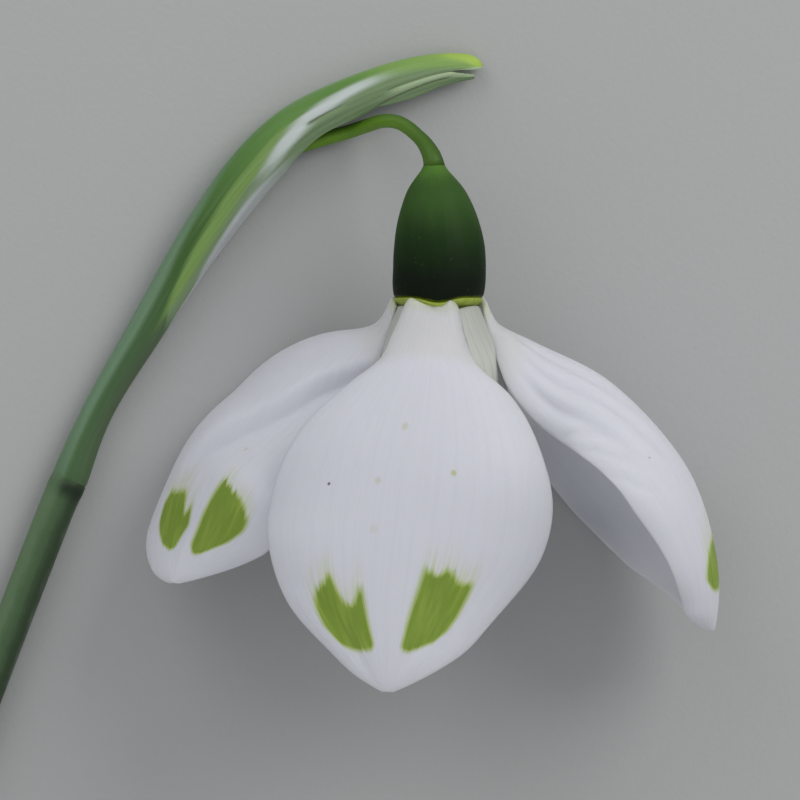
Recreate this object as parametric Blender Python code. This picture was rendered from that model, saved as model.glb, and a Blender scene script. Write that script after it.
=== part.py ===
"""Snowdrop: one cut flower lying on a flat surface.

Lengths are in millimetres and are turned into metres when a mesh is made. The flower hangs along -Y
from the point where its tepals leave the ovary, X runs across it and +Z is up, away from the surface
it lies on. Azimuths go round the flower's axis, from +Z towards +X. At the end everything is moved so
that the origin is at the middle of the underside of the whole.
"""

import math

import bmesh
import bpy
import numpy as np
from mathutils import Matrix, Vector

MM = 0.001
MERGE = 0.001  # points closer than this are one

# How it lies
FLOOR_Z = -9.45  # the surface, below the flower's axis

# Scape: the leafless stem
SCAPE_RADIUS = 1.2
SCAPE_COLLAR_SWELL = 0.12
SCAPE_PATH = [(-33.5, -35.0), (-27.9, -20.2), (-26.0, -15.3), (-25.2, -13.3), (-24.75, -12.4)]
SCAPE_RINGS = np.array([0.0, 0.008, 0.25, 0.45, 0.6, 0.72, 0.8, 0.86, 0.91, 0.95, 0.98, 0.995])
SCAPE_COLLAR_AT, SCAPE_COLLAR_LENGTH = 0.97, 0.03
SCAPE_END_CHAMFER = 0.1
SCAPE_SIDES = 20

# Spathe: a sheath round the flower stalk that opens into a two-keeled bract
SPATHE_WALL = 0.3
SPATHE_PATH = [
    (-24.6, -12.05), (-23.1, -8.3), (-19.4, -1.9), (-15.2, 4.8), (-12.6, 8.2), (-9.5, 11.15),
    (-6.2, 13.0), (-2.5, 14.5), (1.0, 15.35), (2.95, 15.45),
]
SPATHE_STATIONS = [0.0, 0.1, 0.3, 0.5, 0.61, 0.72, 0.81, 0.9, 0.96, 1.0]
SPATHE_ACROSS = [1.17, 1.2, 1.25, 1.63, 1.8, 1.72, 1.52, 1.32, 1.08, 0.85]  # half width seen from above
SPATHE_DEEP = [1.17, 1.2, 1.25, 1.5, 1.6, 1.5, 1.35, 1.1, 0.9, 0.7]  # half height
# Edges of the sheet, in degrees round from its upper keel: the stalk comes out between the lower one
# and the far one, and a slit on the upper side parts the two tips.
SPATHE_LOWER_EDGE = [177, 177, 177, 177, 172, 160, 149, 158, 166, 168]
SPATHE_FAR_EDGE = [177, 177, 177, 166, 126, 90, 78, 74, 72, 70]
SPATHE_SLIT = [80, 80, 80, 82, 84, 92, 101, 101, 98, 97]
SPATHE_SLIT_START = 0.8
SPATHE_SLIT_OPENS_OVER = 0.12  # of the length
SPATHE_SLIT_WIDTH = 13.0  # degrees, where it is widest
SPATHE_SLIT_LEAST = 0.15  # of that width, where it starts
SPATHE_TIPS = [(25.0, 0.05), (145.0, 0.085)]  # where each tip points, and how fast it rounds off
SPATHE_LOWER_TIP_BACK = 0.018
SPATHE_TIP_ROUNDING = 5  # the higher, the nearer the tips they round off
SPATHE_ROWS = 31
SPATHE_UPPER_COLUMNS, SPATHE_LOWER_COLUMNS = 12, 6
SPATHE_THIN_ROWS, SPATHE_TIP_WALL = 3, 0.24

# Pedicel: the flower stalk
PEDICEL_PATH = [
    (-24.3, -11.4, -8.25), (-22.9, -8.1, -8.2), (-19.3, -1.8, -8.1), (-15.1, 4.6, -8.0),
    (-12.2, 8.0, -8.1), (-9.6, 10.0, -8.35), (-7.7, 10.65, -8.58), (-5.95, 11.15, -8.5),
    (-4.75, 11.55, -7.55), (-3.6, 11.85, -5.6), (-2.45, 11.65, -3.45), (-1.5, 10.95, -1.8),
    (-0.75, 10.2, -0.65), (-0.3, 9.5, -0.1),
]
PEDICEL_RADIUS = 0.47
PEDICEL_NECK_RADIUS = 0.62
PEDICEL_NECK_FROM = 0.9
PEDICEL_RINGS = 29
PEDICEL_SIDES = 12

# Ovary: height above the tepals' base, radius and sideways drift
OVARY_PROFILE = [
    (0.0, 2.95, 0.03), (0.45, 3.05, 0.05), (2.0, 3.1, 0.1), (3.5, 3.02, 0.1), (4.9, 2.77, 0.03),
    (6.1, 2.4, -0.03), (7.3, 1.85, -0.12), (8.1, 1.25, -0.19), (8.6, 0.85, -0.23), (8.9, 0.7, -0.25),
]
OVARY_LOBE_DROP = 0.32
OVARY_LOBE_HEIGHT = 1.1  # how far up the lobes of its base reach
OVARY_LOBE_NARROWING = 2  # the higher, the narrower they are
OVARY_RINGS = 16
OVARY_SIDES = 28

# Receptacle: the short green disc that carries the tepals and stamens
RECEPTACLE_RADIUS = 2.35
RECEPTACLE_TOP, RECEPTACLE_BOTTOM = -0.62, -1.08
RECEPTACLE_EDGE = 0.12

# Outer tepals: midline, which way the face looks, half widths either side, how deeply they are cupped
MID_STATIONS = [0.0, 0.1, 0.22, 0.4, 0.6, 0.8, 1.0]
FACE_STATIONS = [0.0, 0.12, 0.25, 0.45, 0.7, 1.0]
WIDTH_STATIONS = [0.0, 0.08, 0.16, 0.24, 0.34, 0.5, 0.66, 0.8, 0.9, 0.96, 1.0]
CUP_STATIONS = [0.0, 0.12, 0.3, 0.6, 0.85, 1.0]
OUTER_THICKNESS, MARGIN_THICKNESS = 0.46, 0.26
SIDE_MARGIN, TIP_MARGIN = 4, 8  # the higher, the narrower the thin margin
ROWS_NEAR_TIP = 1.25  # over 1, rows lie closer together towards a tip
OUTER_ROWS, OUTER_COLUMNS = 27, 15
OUTER_TEPALS = {
    "outer_tepal_front": {
        "mid": [
            (-0.42, -0.72, 2.98), (-0.58, -2.6, 3.8), (-0.8, -4.85, 5.94), (-1.53, -9.86, 8.36),
            (-2.31, -15.66, 9.4), (-3.02, -21.1, 9.45), (-3.39, -26.2, 9.2),
        ],
        "face": [-1.0, -1.5, -6.0, -5.0, 3.5, 4.5],
        "left": [1.85, 2.6, 3.35, 5.1, 7.9, 9.7, 9.55, 7.3, 4.2, 2.25, 0.3],
        "right": [1.85, 2.6, 3.5, 6.0, 8.3, 10.25, 9.75, 7.25, 4.95, 2.45, 0.3],
        "cup": [0.62, 0.56, 0.5, 0.72, 0.62, 0.38],
    },
    "outer_tepal_left": {
        "mid": [
            (-3.0, -0.75, -0.75), (-4.15, -1.95, -0.95), (-6.3, -3.15, -0.75), (-11.1, -7.2, -0.17),
            (-14.86, -10.77, 0.25), (-16.48, -15.74, 0.15), (-17.6, -19.0, 0.85),
        ],
        "face": [-98.0, -86.0, -58.0, -57.0, -57.0, -44.0],
        "left": [1.6, 2.4, 3.6, 5.7, 7.6, 9.6, 9.4, 7.35, 4.6, 2.4, 0.35],
        "right": [1.6, 2.3, 3.0, 3.9, 5.6, 8.2, 8.9, 6.85, 4.1, 1.95, 0.3],
        "cup": [0.6, 0.48, 0.54, 0.61, 0.44, 0.5],
    },
    "outer_tepal_right": {
        "mid": [
            (2.95, -0.85, -0.85), (4.0, -1.95, -1.6), (6.55, -3.2, -2.05), (11.31, -5.74, -2.4),
            (16.11, -11.22, -2.7), (18.2, -17.3, -2.8), (18.4, -22.15, -3.0),
        ],
        "face": [105.0, 96.0, 91.0, 99.0, 104.0, 99.0],
        "left": [1.5, 3.5, 5.9, 6.9, 8.5, 10.8, 10.9, 8.4, 5.4, 2.75, 0.4],
        "right": [1.5, 1.7, 2.9, 5.0, 8.0, 10.4, 10.0, 7.6, 4.95, 2.6, 0.4],
        "cup": [0.6, 0.85, 1.26, 1.26, 1.12, 1.0],
    },
}

# Inner tepals: half as long, standing round the stamens between the outer ones
INNER_AZIMUTHS = {"a": 71.0, "b": 182.0, "c": 295.0}
INNER_MID = [(2.25, -1.45), (3.05, -2.5), (3.85, -4.4), (4.2, -7.0), (4.2, -9.6), (4.2, -12.0)]
INNER_STATIONS = [0.0, 0.12, 0.31, 0.54, 0.77, 1.0]
INNER_WIDTHS = [1.15, 1.7, 2.6, 3.4, 3.75, 2.6]
INNER_CUPS = [0.5, 0.6, 0.72, 0.8, 0.8, 0.6]
INNER_NOTCH, INNER_NOTCH_WIDTH, INNER_NOTCH_FADE = 0.9, 0.28, 4
INNER_THICKNESS = 0.34
INNER_ROWS, INNER_COLUMNS = 15, 11

# Stamens and style
STAMENS = 6
FILAMENT_SIDES, ANTHER_SIDES = 8, 10
STAMEN_RING = 1.3
FILAMENT_RADIUS = 0.18
FILAMENT_TOP, FILAMENT_BOTTOM = -1.35, -2.9
ANTHER_TOP, ANTHER_LENGTH = -3.2, 5.0
ANTHER_PROFILE = [(0.0, 0.22), (0.12, 0.42), (0.45, 0.46), (0.75, 0.34), (0.94, 0.14), (1.0, 0.05)]
ANTHER_LEAN = 0.45  # how far the anthers close in towards the style
STYLE_TOP, STYLE_LENGTH = -1.35, 7.95
STYLE_PROFILE = [(0.0, 0.22), (0.3, 0.26), (0.75, 0.24), (0.94, 0.2), (1.0, 0.1)]

# Colours (linear), roughness
FINISHES = {
    "stem_green": ((0.085, 0.19, 0.075), 0.45),
    "spathe_green": ((0.22, 0.36, 0.15), 0.45),
    "pedicel_green": ((0.16, 0.33, 0.045), 0.42),
    "ovary_green": ((0.022, 0.085, 0.016), 0.38),
    "rim_green": ((0.3, 0.42, 0.04), 0.5),
    "tepal_white": ((0.78, 0.78, 0.82), 0.5),
    "inner_white": ((0.62, 0.66, 0.52), 0.5),
    "filament_white": ((0.75, 0.76, 0.68), 0.5),
    "anther_orange": ((0.75, 0.38, 0.05), 0.55),
}


def clear_scene():
    for existing in list(bpy.data.objects):
        bpy.data.objects.remove(existing, do_unlink=True)


def through(stations, values, at):
    """A smooth curve through values at stations, read at each place in at."""
    stations = np.asarray(stations, float)
    values = np.asarray(values, float)
    flat = values.ndim == 1
    values = values.reshape(len(stations), -1)
    step = np.diff(stations)[:, None]
    slope = np.diff(values, axis=0) / step
    tangent = np.empty_like(values)
    tangent[1:-1] = (slope[:-1] * step[1:] + slope[1:] * step[:-1]) / (step[:-1] + step[1:])
    tangent[0] = 1.5 * slope[0] - 0.5 * tangent[1]
    tangent[-1] = 1.5 * slope[-1] - 0.5 * tangent[-2]
    k = np.clip(np.searchsorted(stations, at, side="right") - 1, 0, len(stations) - 2)
    h = step[k]
    t = (np.asarray(at)[:, None] - stations[k][:, None]) / h
    value = (
        (2 * t**3 - 3 * t**2 + 1) * values[k]
        + (t**3 - 2 * t**2 + t) * h * tangent[k]
        + (3 * t**2 - 2 * t**3) * values[k + 1]
        + (t**3 - t**2) * h * tangent[k + 1]
    )
    return value[:, 0] if flat else value


def unit(vectors):
    return vectors / np.linalg.norm(vectors, axis=-1, keepdims=True)


def along(path):
    """Stations of a path's points by the length between them, from 0 to 1."""
    lengths = np.linalg.norm(np.diff(np.asarray(path, float), axis=0), axis=1)
    return np.concatenate([[0.0], np.cumsum(lengths) / lengths.sum()])


def frames(points):
    """Tangent, upward and sideways directions at each point of a curve."""
    tangent = unit(np.gradient(points, axis=0))
    up = np.array([0.0, 0.0, 1.0])
    upward = unit(up - (tangent @ up)[:, None] * tangent)
    return tangent, upward, np.cross(upward, tangent)


def petal_surface(mid_stations, mid, face, left, right, cup, rows, columns):
    """Mid surface of a petal: arcs across a midline, turned to face one way and cupped."""
    v = 1 - (1 - np.linspace(0, 1, rows)) ** ROWS_NEAR_TIP
    middle = through(mid_stations, mid, v)
    _, upward, sideways = frames(middle)
    turn = face(v)
    out = np.cos(turn)[:, None] * upward + np.sin(turn)[:, None] * sideways
    side = np.cos(turn)[:, None] * sideways - np.sin(turn)[:, None] * upward
    u = np.linspace(-1, 1, columns)
    wide = np.where(u[None, :] < 0, left(v)[:, None], right(v)[:, None]) * u[None, :]
    radius = ((left(v) + right(v)) / 2 / cup(v))[:, None]
    swing = wide / radius
    return (
        middle[:, None, :]
        + (radius * np.sin(swing))[..., None] * side[:, None, :]
        - (radius * (1 - np.cos(swing)))[..., None] * out[:, None, :]
    )


def finish_material(finish):
    material = bpy.data.materials.get(finish)
    if material is None:
        colour, roughness = FINISHES[finish]
        material = bpy.data.materials.new(finish)
        material.use_nodes = True
        shader = material.node_tree.nodes["Principled BSDF"]
        shader.inputs["Base Color"].default_value = (*colour, 1.0)
        shader.inputs["Roughness"].default_value = roughness
        shader.inputs["Metallic"].default_value = 0.0
    return material


def add_mesh(name, bm, finish):
    """Turn a bmesh in millimetres into a smooth object in metres."""
    bmesh.ops.scale(bm, vec=Vector((MM, MM, MM)), verts=bm.verts)
    for face in bm.faces:
        face.smooth = True
    mesh = bpy.data.meshes.new(name)
    bm.to_mesh(mesh)
    bm.free()
    item = bpy.data.objects.new(name, mesh)
    bpy.context.scene.collection.objects.link(item)
    mesh.materials.append(finish_material(finish))
    return item


def sheet(name, surface, thickness, finish, split=None):
    """A grid bent to a mid surface and given its thickness; split leaves out the faces it is true for."""
    rows, columns = surface.shape[:2]
    bm = bmesh.new()
    bmesh.ops.create_grid(bm, x_segments=columns - 1, y_segments=rows - 1, size=1.0)
    shares = []
    for vertex in bm.verts:
        c = round((vertex.co.x + 1) / 2 * (columns - 1))
        r = round((vertex.co.y + 1) / 2 * (rows - 1))
        vertex.co = surface[r, c]
        shares.append((r, c))
    if split is not None:
        gone = []
        for face in bm.faces:
            corners = [shares[vertex.index] for vertex in face.verts]
            if split(min(r for r, _ in corners), min(c for _, c in corners)):
                gone.append(face)
        bmesh.ops.delete(bm, geom=gone, context="FACES_ONLY")
    item = add_mesh(name, bm, finish)
    thick = item.vertex_groups.new(name="thick")
    full = float(thickness.max())
    for index, (r, c) in enumerate(shares):
        thick.add([index], float(thickness[r, c]) / full, "REPLACE")
    wall = item.modifiers.new("wall", "SOLIDIFY")
    wall.thickness = full * MM
    wall.offset = 0.0
    wall.vertex_group = thick.name
    return item


def tube(name, centres, radii, sides, finish):
    """Round stem: a curve with a bevel and filled ends."""
    curve = bpy.data.curves.new(name, "CURVE")
    curve.dimensions = "3D"
    curve.bevel_depth = MM
    curve.bevel_resolution = (sides - 4) // 2
    curve.use_fill_caps = True
    spline = curve.splines.new("POLY")
    spline.points.add(len(centres) - 1)
    for point, centre, radius in zip(spline.points, centres, radii):
        point.co = (*(centre * MM), 1.0)
        point.radius = radius
    spline.use_smooth = True
    item = bpy.data.objects.new(name, curve)
    bpy.context.scene.collection.objects.link(item)
    curve.materials.append(finish_material(finish))
    return item


def turned(name, profile, sides, finish, place=None, adjust=None):
    """Body spun round the Y axis from (height, radius) points, then adjusted and put in place."""
    bm = bmesh.new()
    heights = [profile[0][0], *(h for h, _ in profile), profile[-1][0]]
    radii = [0.0, *(r for _, r in profile), 0.0]
    chain = [bm.verts.new((0.0, h, r)) for h, r in zip(heights, radii)]
    edges = [bm.edges.new(pair) for pair in zip(chain, chain[1:])]
    bmesh.ops.spin(
        bm,
        geom=chain + edges,
        cent=(0.0, 0.0, 0.0),
        axis=(0.0, 1.0, 0.0),
        angle=2 * math.pi,
        steps=sides,
        use_merge=True,
    )
    bmesh.ops.remove_doubles(bm, verts=bm.verts, dist=MERGE)
    bmesh.ops.recalc_face_normals(bm, faces=bm.faces)
    for vertex in bm.verts:
        if adjust is not None:
            vertex.co = adjust(vertex.co)
    if place is not None:
        bmesh.ops.transform(bm, matrix=place, verts=bm.verts)
    return add_mesh(name, bm, finish)


def degrees_through(stations, values):
    return lambda v: np.radians(through(stations, values, v))


def values_through(stations, values):
    return lambda v: through(stations, values, v)


def build_scape():
    flat = [(x, y, FLOOR_Z + SCAPE_RADIUS) for x, y in SCAPE_PATH]
    centres = through(along(flat), flat, SCAPE_RINGS)
    swell = SCAPE_COLLAR_SWELL * np.exp(-(((SCAPE_RINGS - SCAPE_COLLAR_AT) / SCAPE_COLLAR_LENGTH) ** 2))
    centres[:, 2] += swell
    radii = SCAPE_RADIUS + swell
    radii[0] -= SCAPE_END_CHAMFER
    radii[-1] -= SCAPE_END_CHAMFER
    tube("scape", centres, radii, SCAPE_SIDES, "stem_green")


def build_pedicel():
    v = np.linspace(0, 1, PEDICEL_RINGS)
    centres = through(along(PEDICEL_PATH), PEDICEL_PATH, v)
    near_neck = np.clip((v - PEDICEL_NECK_FROM) / (1 - PEDICEL_NECK_FROM), 0, 1) ** 2
    radii = PEDICEL_RADIUS + (PEDICEL_NECK_RADIUS - PEDICEL_RADIUS) * near_neck
    tube("pedicel", centres, radii, PEDICEL_SIDES, "pedicel_green")


def spathe_surface():
    """Mid surface of the spathe, from its far edge over the upper keel and slit to its lower edge."""
    v = np.linspace(0, 1, SPATHE_ROWS)
    across = through(SPATHE_STATIONS, SPATHE_ACROSS, v) - SPATHE_WALL / 2
    deep = through(SPATHE_STATIONS, SPATHE_DEEP, v) - SPATHE_WALL / 2
    lower = through(SPATHE_STATIONS, SPATHE_LOWER_EDGE, v)
    far = through(SPATHE_STATIONS, SPATHE_FAR_EDGE, v)
    slit = through(SPATHE_STATIONS, SPATHE_SLIT, v)
    opened = (v - SPATHE_SLIT_START) / SPATHE_SLIT_OPENS_OVER
    open_by = SPATHE_SLIT_WIDTH * np.clip(opened, SPATHE_SLIT_LEAST, 1)
    path = np.array([(x, y, 0.0) for x, y in SPATHE_PATH])
    stations = along(path)
    grid = np.empty((SPATHE_ROWS, SPATHE_UPPER_COLUMNS + SPATHE_LOWER_COLUMNS, 3))
    for c in range(grid.shape[1]):
        if c < SPATHE_UPPER_COLUMNS:
            share = c / (SPATHE_UPPER_COLUMNS - 1)
            turn = -far + (slit - open_by / 2 + far) * share
            point, rounding, back = *SPATHE_TIPS[0], 0.0
        else:
            share = (c - SPATHE_UPPER_COLUMNS) / (SPATHE_LOWER_COLUMNS - 1)
            turn = slit + open_by / 2 + (lower - slit - open_by / 2) * share
            point, rounding, back = *SPATHE_TIPS[1], SPATHE_LOWER_TIP_BACK
        short = back + rounding * ((turn[-1] - point) / 90) ** 2
        centre = through(stations, path, v * (1 - short * v**SPATHE_TIP_ROUNDING))
        tangent = unit(np.gradient(centre, axis=0))
        aside = np.stack([-tangent[:, 1], tangent[:, 0], 0 * v], axis=1)
        grid[:, c] = centre + (across * np.cos(np.radians(turn)))[:, None] * aside
        grid[:, c, 2] = FLOOR_Z + deep + SPATHE_WALL / 2 + deep * np.sin(np.radians(turn))
    return grid


def build_spathe():
    surface = spathe_surface()
    slit_row = round(SPATHE_SLIT_START * (SPATHE_ROWS - 1))
    thickness = np.full(surface.shape[:2], SPATHE_WALL)
    thickness[-SPATHE_THIN_ROWS:] = SPATHE_TIP_WALL
    sheet(
        "spathe",
        surface,
        thickness,
        "spathe_green",
        split=lambda r, c: r >= slit_row and c == SPATHE_UPPER_COLUMNS - 1,
    )


def build_ovary():
    v = np.linspace(0, 1, OVARY_RINGS)
    heights, radii, drift = zip(*OVARY_PROFILE)
    stations = along(list(zip(heights, radii)))
    profile = list(zip(through(stations, heights, v), through(stations, radii, v)))

    def lobed(co):
        out = math.hypot(co.x, co.z) / OVARY_PROFILE[0][1]
        low = max(0.0, 1 - co.y / OVARY_LOBE_HEIGHT)
        lobes = ((1 + math.cos(3 * math.atan2(co.x, co.z))) / 2) ** OVARY_LOBE_NARROWING
        sideways = np.interp(co.y, heights, drift)
        return Vector((co.x + sideways, co.y - OVARY_LOBE_DROP * lobes * low * out, co.z))

    turned("ovary", profile, OVARY_SIDES, "ovary_green", adjust=lobed)


def build_receptacle():
    top, bottom, radius = RECEPTACLE_TOP, RECEPTACLE_BOTTOM, RECEPTACLE_RADIUS
    edge = RECEPTACLE_EDGE
    profile = [(top, radius - edge), (top - edge, radius), (bottom + edge, radius), (bottom, radius - edge)]
    turned("receptacle", profile, OVARY_SIDES, "rim_green")


def build_outer_tepals():
    u = np.abs(np.linspace(-1, 1, OUTER_COLUMNS))[None, :]
    v = np.linspace(0, 1, OUTER_ROWS)[:, None]
    margin = np.maximum(u**SIDE_MARGIN, v**TIP_MARGIN)
    thickness = OUTER_THICKNESS + (MARGIN_THICKNESS - OUTER_THICKNESS) * margin
    for name, shape in OUTER_TEPALS.items():
        surface = petal_surface(
            MID_STATIONS,
            shape["mid"],
            degrees_through(FACE_STATIONS, shape["face"]),
            values_through(WIDTH_STATIONS, shape["left"]),
            values_through(WIDTH_STATIONS, shape["right"]),
            values_through(CUP_STATIONS, shape["cup"]),
            OUTER_ROWS,
            OUTER_COLUMNS,
        )
        sheet(name, surface, thickness, "tepal_white")


def build_inner_tepals():
    u = np.linspace(-1, 1, INNER_COLUMNS)[None, :]
    v = np.linspace(0, 1, INNER_ROWS)[:, None]
    notch = INNER_NOTCH * np.exp(-((u / INNER_NOTCH_WIDTH) ** 2)) * v**INNER_NOTCH_FADE
    thickness = np.full((INNER_ROWS, INNER_COLUMNS), INNER_THICKNESS)
    width = values_through(INNER_STATIONS, INNER_WIDTHS)
    for letter, azimuth in INNER_AZIMUTHS.items():
        a = math.radians(azimuth)
        surface = petal_surface(
            INNER_STATIONS,
            [(r * math.sin(a), y, r * math.cos(a)) for r, y in INNER_MID],
            degrees_through([0.0, 0.5, 1.0], [azimuth] * 3),
            width,
            width,
            values_through(INNER_STATIONS, INNER_CUPS),
            INNER_ROWS,
            INNER_COLUMNS,
        )
        surface[..., 1] += notch
        sheet(f"inner_tepal_{letter}", surface, thickness, "inner_white")


def build_stamens():
    filament = [(FILAMENT_TOP, FILAMENT_RADIUS), (FILAMENT_BOTTOM, FILAMENT_RADIUS)]
    anther = [(-share * ANTHER_LENGTH, radius) for share, radius in ANTHER_PROFILE]
    inward = math.atan2(ANTHER_LEAN * STAMEN_RING, ANTHER_LENGTH)
    for k in range(STAMENS):
        round_axis = Matrix.Rotation(2 * math.pi * (k + 0.5) / STAMENS, 4, "Y")
        out = round_axis @ Matrix.Translation((0.0, 0.0, STAMEN_RING))
        turned(f"filament_{k + 1}", filament, FILAMENT_SIDES, "filament_white", place=out)
        lean = Matrix.Translation((0.0, ANTHER_TOP, 0.0)) @ Matrix.Rotation(inward, 4, "X")
        turned(f"anther_{k + 1}", anther, ANTHER_SIDES, "anther_orange", place=out @ lean)
    style = [(STYLE_TOP - share * STYLE_LENGTH, radius) for share, radius in STYLE_PROFILE]
    turned("style", style, ANTHER_SIDES, "filament_white")


def centre_on_underside():
    """Move every piece together, so that the origin is at the middle of the whole's underside."""
    graph = bpy.context.evaluated_depsgraph_get()
    corners = []
    for item in bpy.data.objects:
        shown = item.evaluated_get(graph)
        mesh = shown.to_mesh()
        corners += [vertex.co.copy() for vertex in mesh.vertices]
        shown.to_mesh_clear()
    low = Vector(min(co[axis] for co in corners) for axis in range(3))
    high = Vector(max(co[axis] for co in corners) for axis in range(3))
    shift = Vector(((low.x + high.x) / 2, (low.y + high.y) / 2, low.z))
    for item in bpy.data.objects:
        item.data.transform(Matrix.Translation(-shift))


def main():
    clear_scene()
    build_scape()
    build_pedicel()
    build_spathe()
    build_ovary()
    build_receptacle()
    build_outer_tepals()
    build_inner_tepals()
    build_stamens()
    bpy.context.view_layer.update()
    centre_on_underside()


main()
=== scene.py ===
"""Snowdrop: the looks of one cut flower, lying on a pale surface and seen from straight above.

Shapes are worked out in millimetres in the flower's own frame: its origin is where the tepals leave the
ovary, the flower hangs along -Y, X runs across it and +Z points up from the surface that it lies on.
Azimuths go round the flower's axis from +Z towards +X. Setting.place turns those points into metres in
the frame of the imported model.
"""

import logging
import math
from collections.abc import Callable
from dataclasses import dataclass
from enum import Enum

import bmesh
import bpy
import numpy as np
from mathutils import Matrix, Vector


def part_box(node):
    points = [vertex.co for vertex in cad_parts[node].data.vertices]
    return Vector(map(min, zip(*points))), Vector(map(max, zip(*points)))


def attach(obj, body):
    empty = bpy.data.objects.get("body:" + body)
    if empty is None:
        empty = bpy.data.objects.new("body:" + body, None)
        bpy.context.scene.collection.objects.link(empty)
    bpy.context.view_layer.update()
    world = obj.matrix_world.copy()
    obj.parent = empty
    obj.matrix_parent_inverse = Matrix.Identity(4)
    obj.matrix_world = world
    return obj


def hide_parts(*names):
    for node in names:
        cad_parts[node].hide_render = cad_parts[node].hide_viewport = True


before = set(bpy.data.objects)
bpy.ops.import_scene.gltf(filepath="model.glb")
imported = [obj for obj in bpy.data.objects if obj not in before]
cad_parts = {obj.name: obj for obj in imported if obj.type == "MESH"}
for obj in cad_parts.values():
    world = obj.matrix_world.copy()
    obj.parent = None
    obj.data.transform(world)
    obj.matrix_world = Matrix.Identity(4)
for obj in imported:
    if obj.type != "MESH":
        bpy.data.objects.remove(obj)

MM = 0.001
MERGE = 1e-7  # metres: points closer than this are one
MERGE_MM = 0.0005  # and millimetres, in a body that is still in them
END_INSET = 0.25  # how far the ring inside a stem's cut end stands in, as a share of its radius
SKIN = "skin"  # the map that patterns follow

Colour = tuple[float, float, float]
Profile = tuple[tuple[float, float], ...]
Source = float | bpy.types.NodeSocket
Curve = Callable[[np.ndarray], np.ndarray]

log = logging.getLogger("snowdrop")


# ---------------------------------------------------------------- curves


def through(stations: np.ndarray, values: np.ndarray, at: np.ndarray) -> np.ndarray:
    """Read a smooth curve that runs through some values.

    Args:
        stations: where each value stands, rising.
        values: one number or one point for each station.
        at: where to read the curve.

    Returns:
        The value at each place in at.
    """
    stations = np.asarray(stations, float)
    values = np.asarray(values, float)
    flat = values.ndim == 1
    values = values.reshape(len(stations), -1)
    step = np.diff(stations)[:, None]
    slope = np.diff(values, axis=0) / step
    tangent = np.empty_like(values)
    tangent[1:-1] = (slope[:-1] * step[1:] + slope[1:] * step[:-1]) / (step[:-1] + step[1:])
    tangent[0] = 1.5 * slope[0] - 0.5 * tangent[1]
    tangent[-1] = 1.5 * slope[-1] - 0.5 * tangent[-2]
    k = np.clip(np.searchsorted(stations, at, side="right") - 1, 0, len(stations) - 2)
    h = step[k]
    t = (np.asarray(at)[:, None] - stations[k][:, None]) / h
    value = (
        (2 * t**3 - 3 * t**2 + 1) * values[k]
        + (t**3 - 2 * t**2 + t) * h * tangent[k]
        + (3 * t**2 - 2 * t**3) * values[k + 1]
        + (t**3 - t**2) * h * tangent[k + 1]
    )
    return value[:, 0] if flat else value


def unit(vectors: np.ndarray) -> np.ndarray:
    """Scale vectors to length one."""
    return vectors / np.linalg.norm(vectors, axis=-1, keepdims=True)


def along(path: np.ndarray) -> np.ndarray:
    """Give the stations of a path's points by the length between them, from 0 to 1."""
    lengths = np.linalg.norm(np.diff(np.asarray(path, float), axis=0), axis=1)
    return np.concatenate([[0.0], np.cumsum(lengths) / lengths.sum()])


def frames(points: np.ndarray) -> tuple[np.ndarray, np.ndarray, np.ndarray]:
    """Find the directions at each point of a curve.

    Args:
        points: the curve's points, in order.

    Returns:
        The tangent, the direction nearest to +Z across it, and the direction sideways.
    """
    tangent = unit(np.gradient(points, axis=0))
    up = np.array([0.0, 0.0, 1.0])
    upward = unit(up - (tangent @ up)[:, None] * tangent)
    return tangent, upward, np.cross(upward, tangent)


def ease(value: np.ndarray, low: float, high: float) -> np.ndarray:
    """Rise softly from 0 at low to 1 at high."""
    t = np.clip((value - low) / (high - low), 0, 1)
    return t * t * (3 - 2 * t)


def bell(value: np.ndarray, centre: np.ndarray | float, width: float) -> np.ndarray:
    """Rise to 1 at the centre and fall away over the width."""
    return np.exp(-(((value - centre) / width) ** 2))


def crowded(count: int, power: float) -> np.ndarray:
    """Give places from 0 to 1 that lie closer together towards 1."""
    return 1 - (1 - np.linspace(0, 1, count)) ** power


# ---------------------------------------------------------------- where the flower sits


@dataclass(frozen=True)
class Setting:
    """The place of the flower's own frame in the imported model's frame, in metres."""

    origin: Vector

    @classmethod
    def of_receptacle(cls, node: str = "receptacle", top: float = -0.62) -> "Setting":
        """Work out the setting from the disc that carries the tepals.

        Args:
            node: the disc's node, which is centred on the flower's axis.
            top: the height of its upper face in the flower's frame, in millimetres.

        Returns:
            The setting.
        """
        low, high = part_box(node)
        middle = (low + high) / 2
        return cls(Vector((middle.x, high.y - top * MM, middle.z)))

    def place(self, points: np.ndarray) -> np.ndarray:
        """Turn points in millimetres in the flower's frame into metres in the model's."""
        return np.asarray(points) * MM + np.array(self.origin)

    @property
    def floor(self) -> float:
        """Height of the surface that the flower lies on, in millimetres in its own frame."""
        return -self.origin.z / MM


# ---------------------------------------------------------------- node wiring


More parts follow.
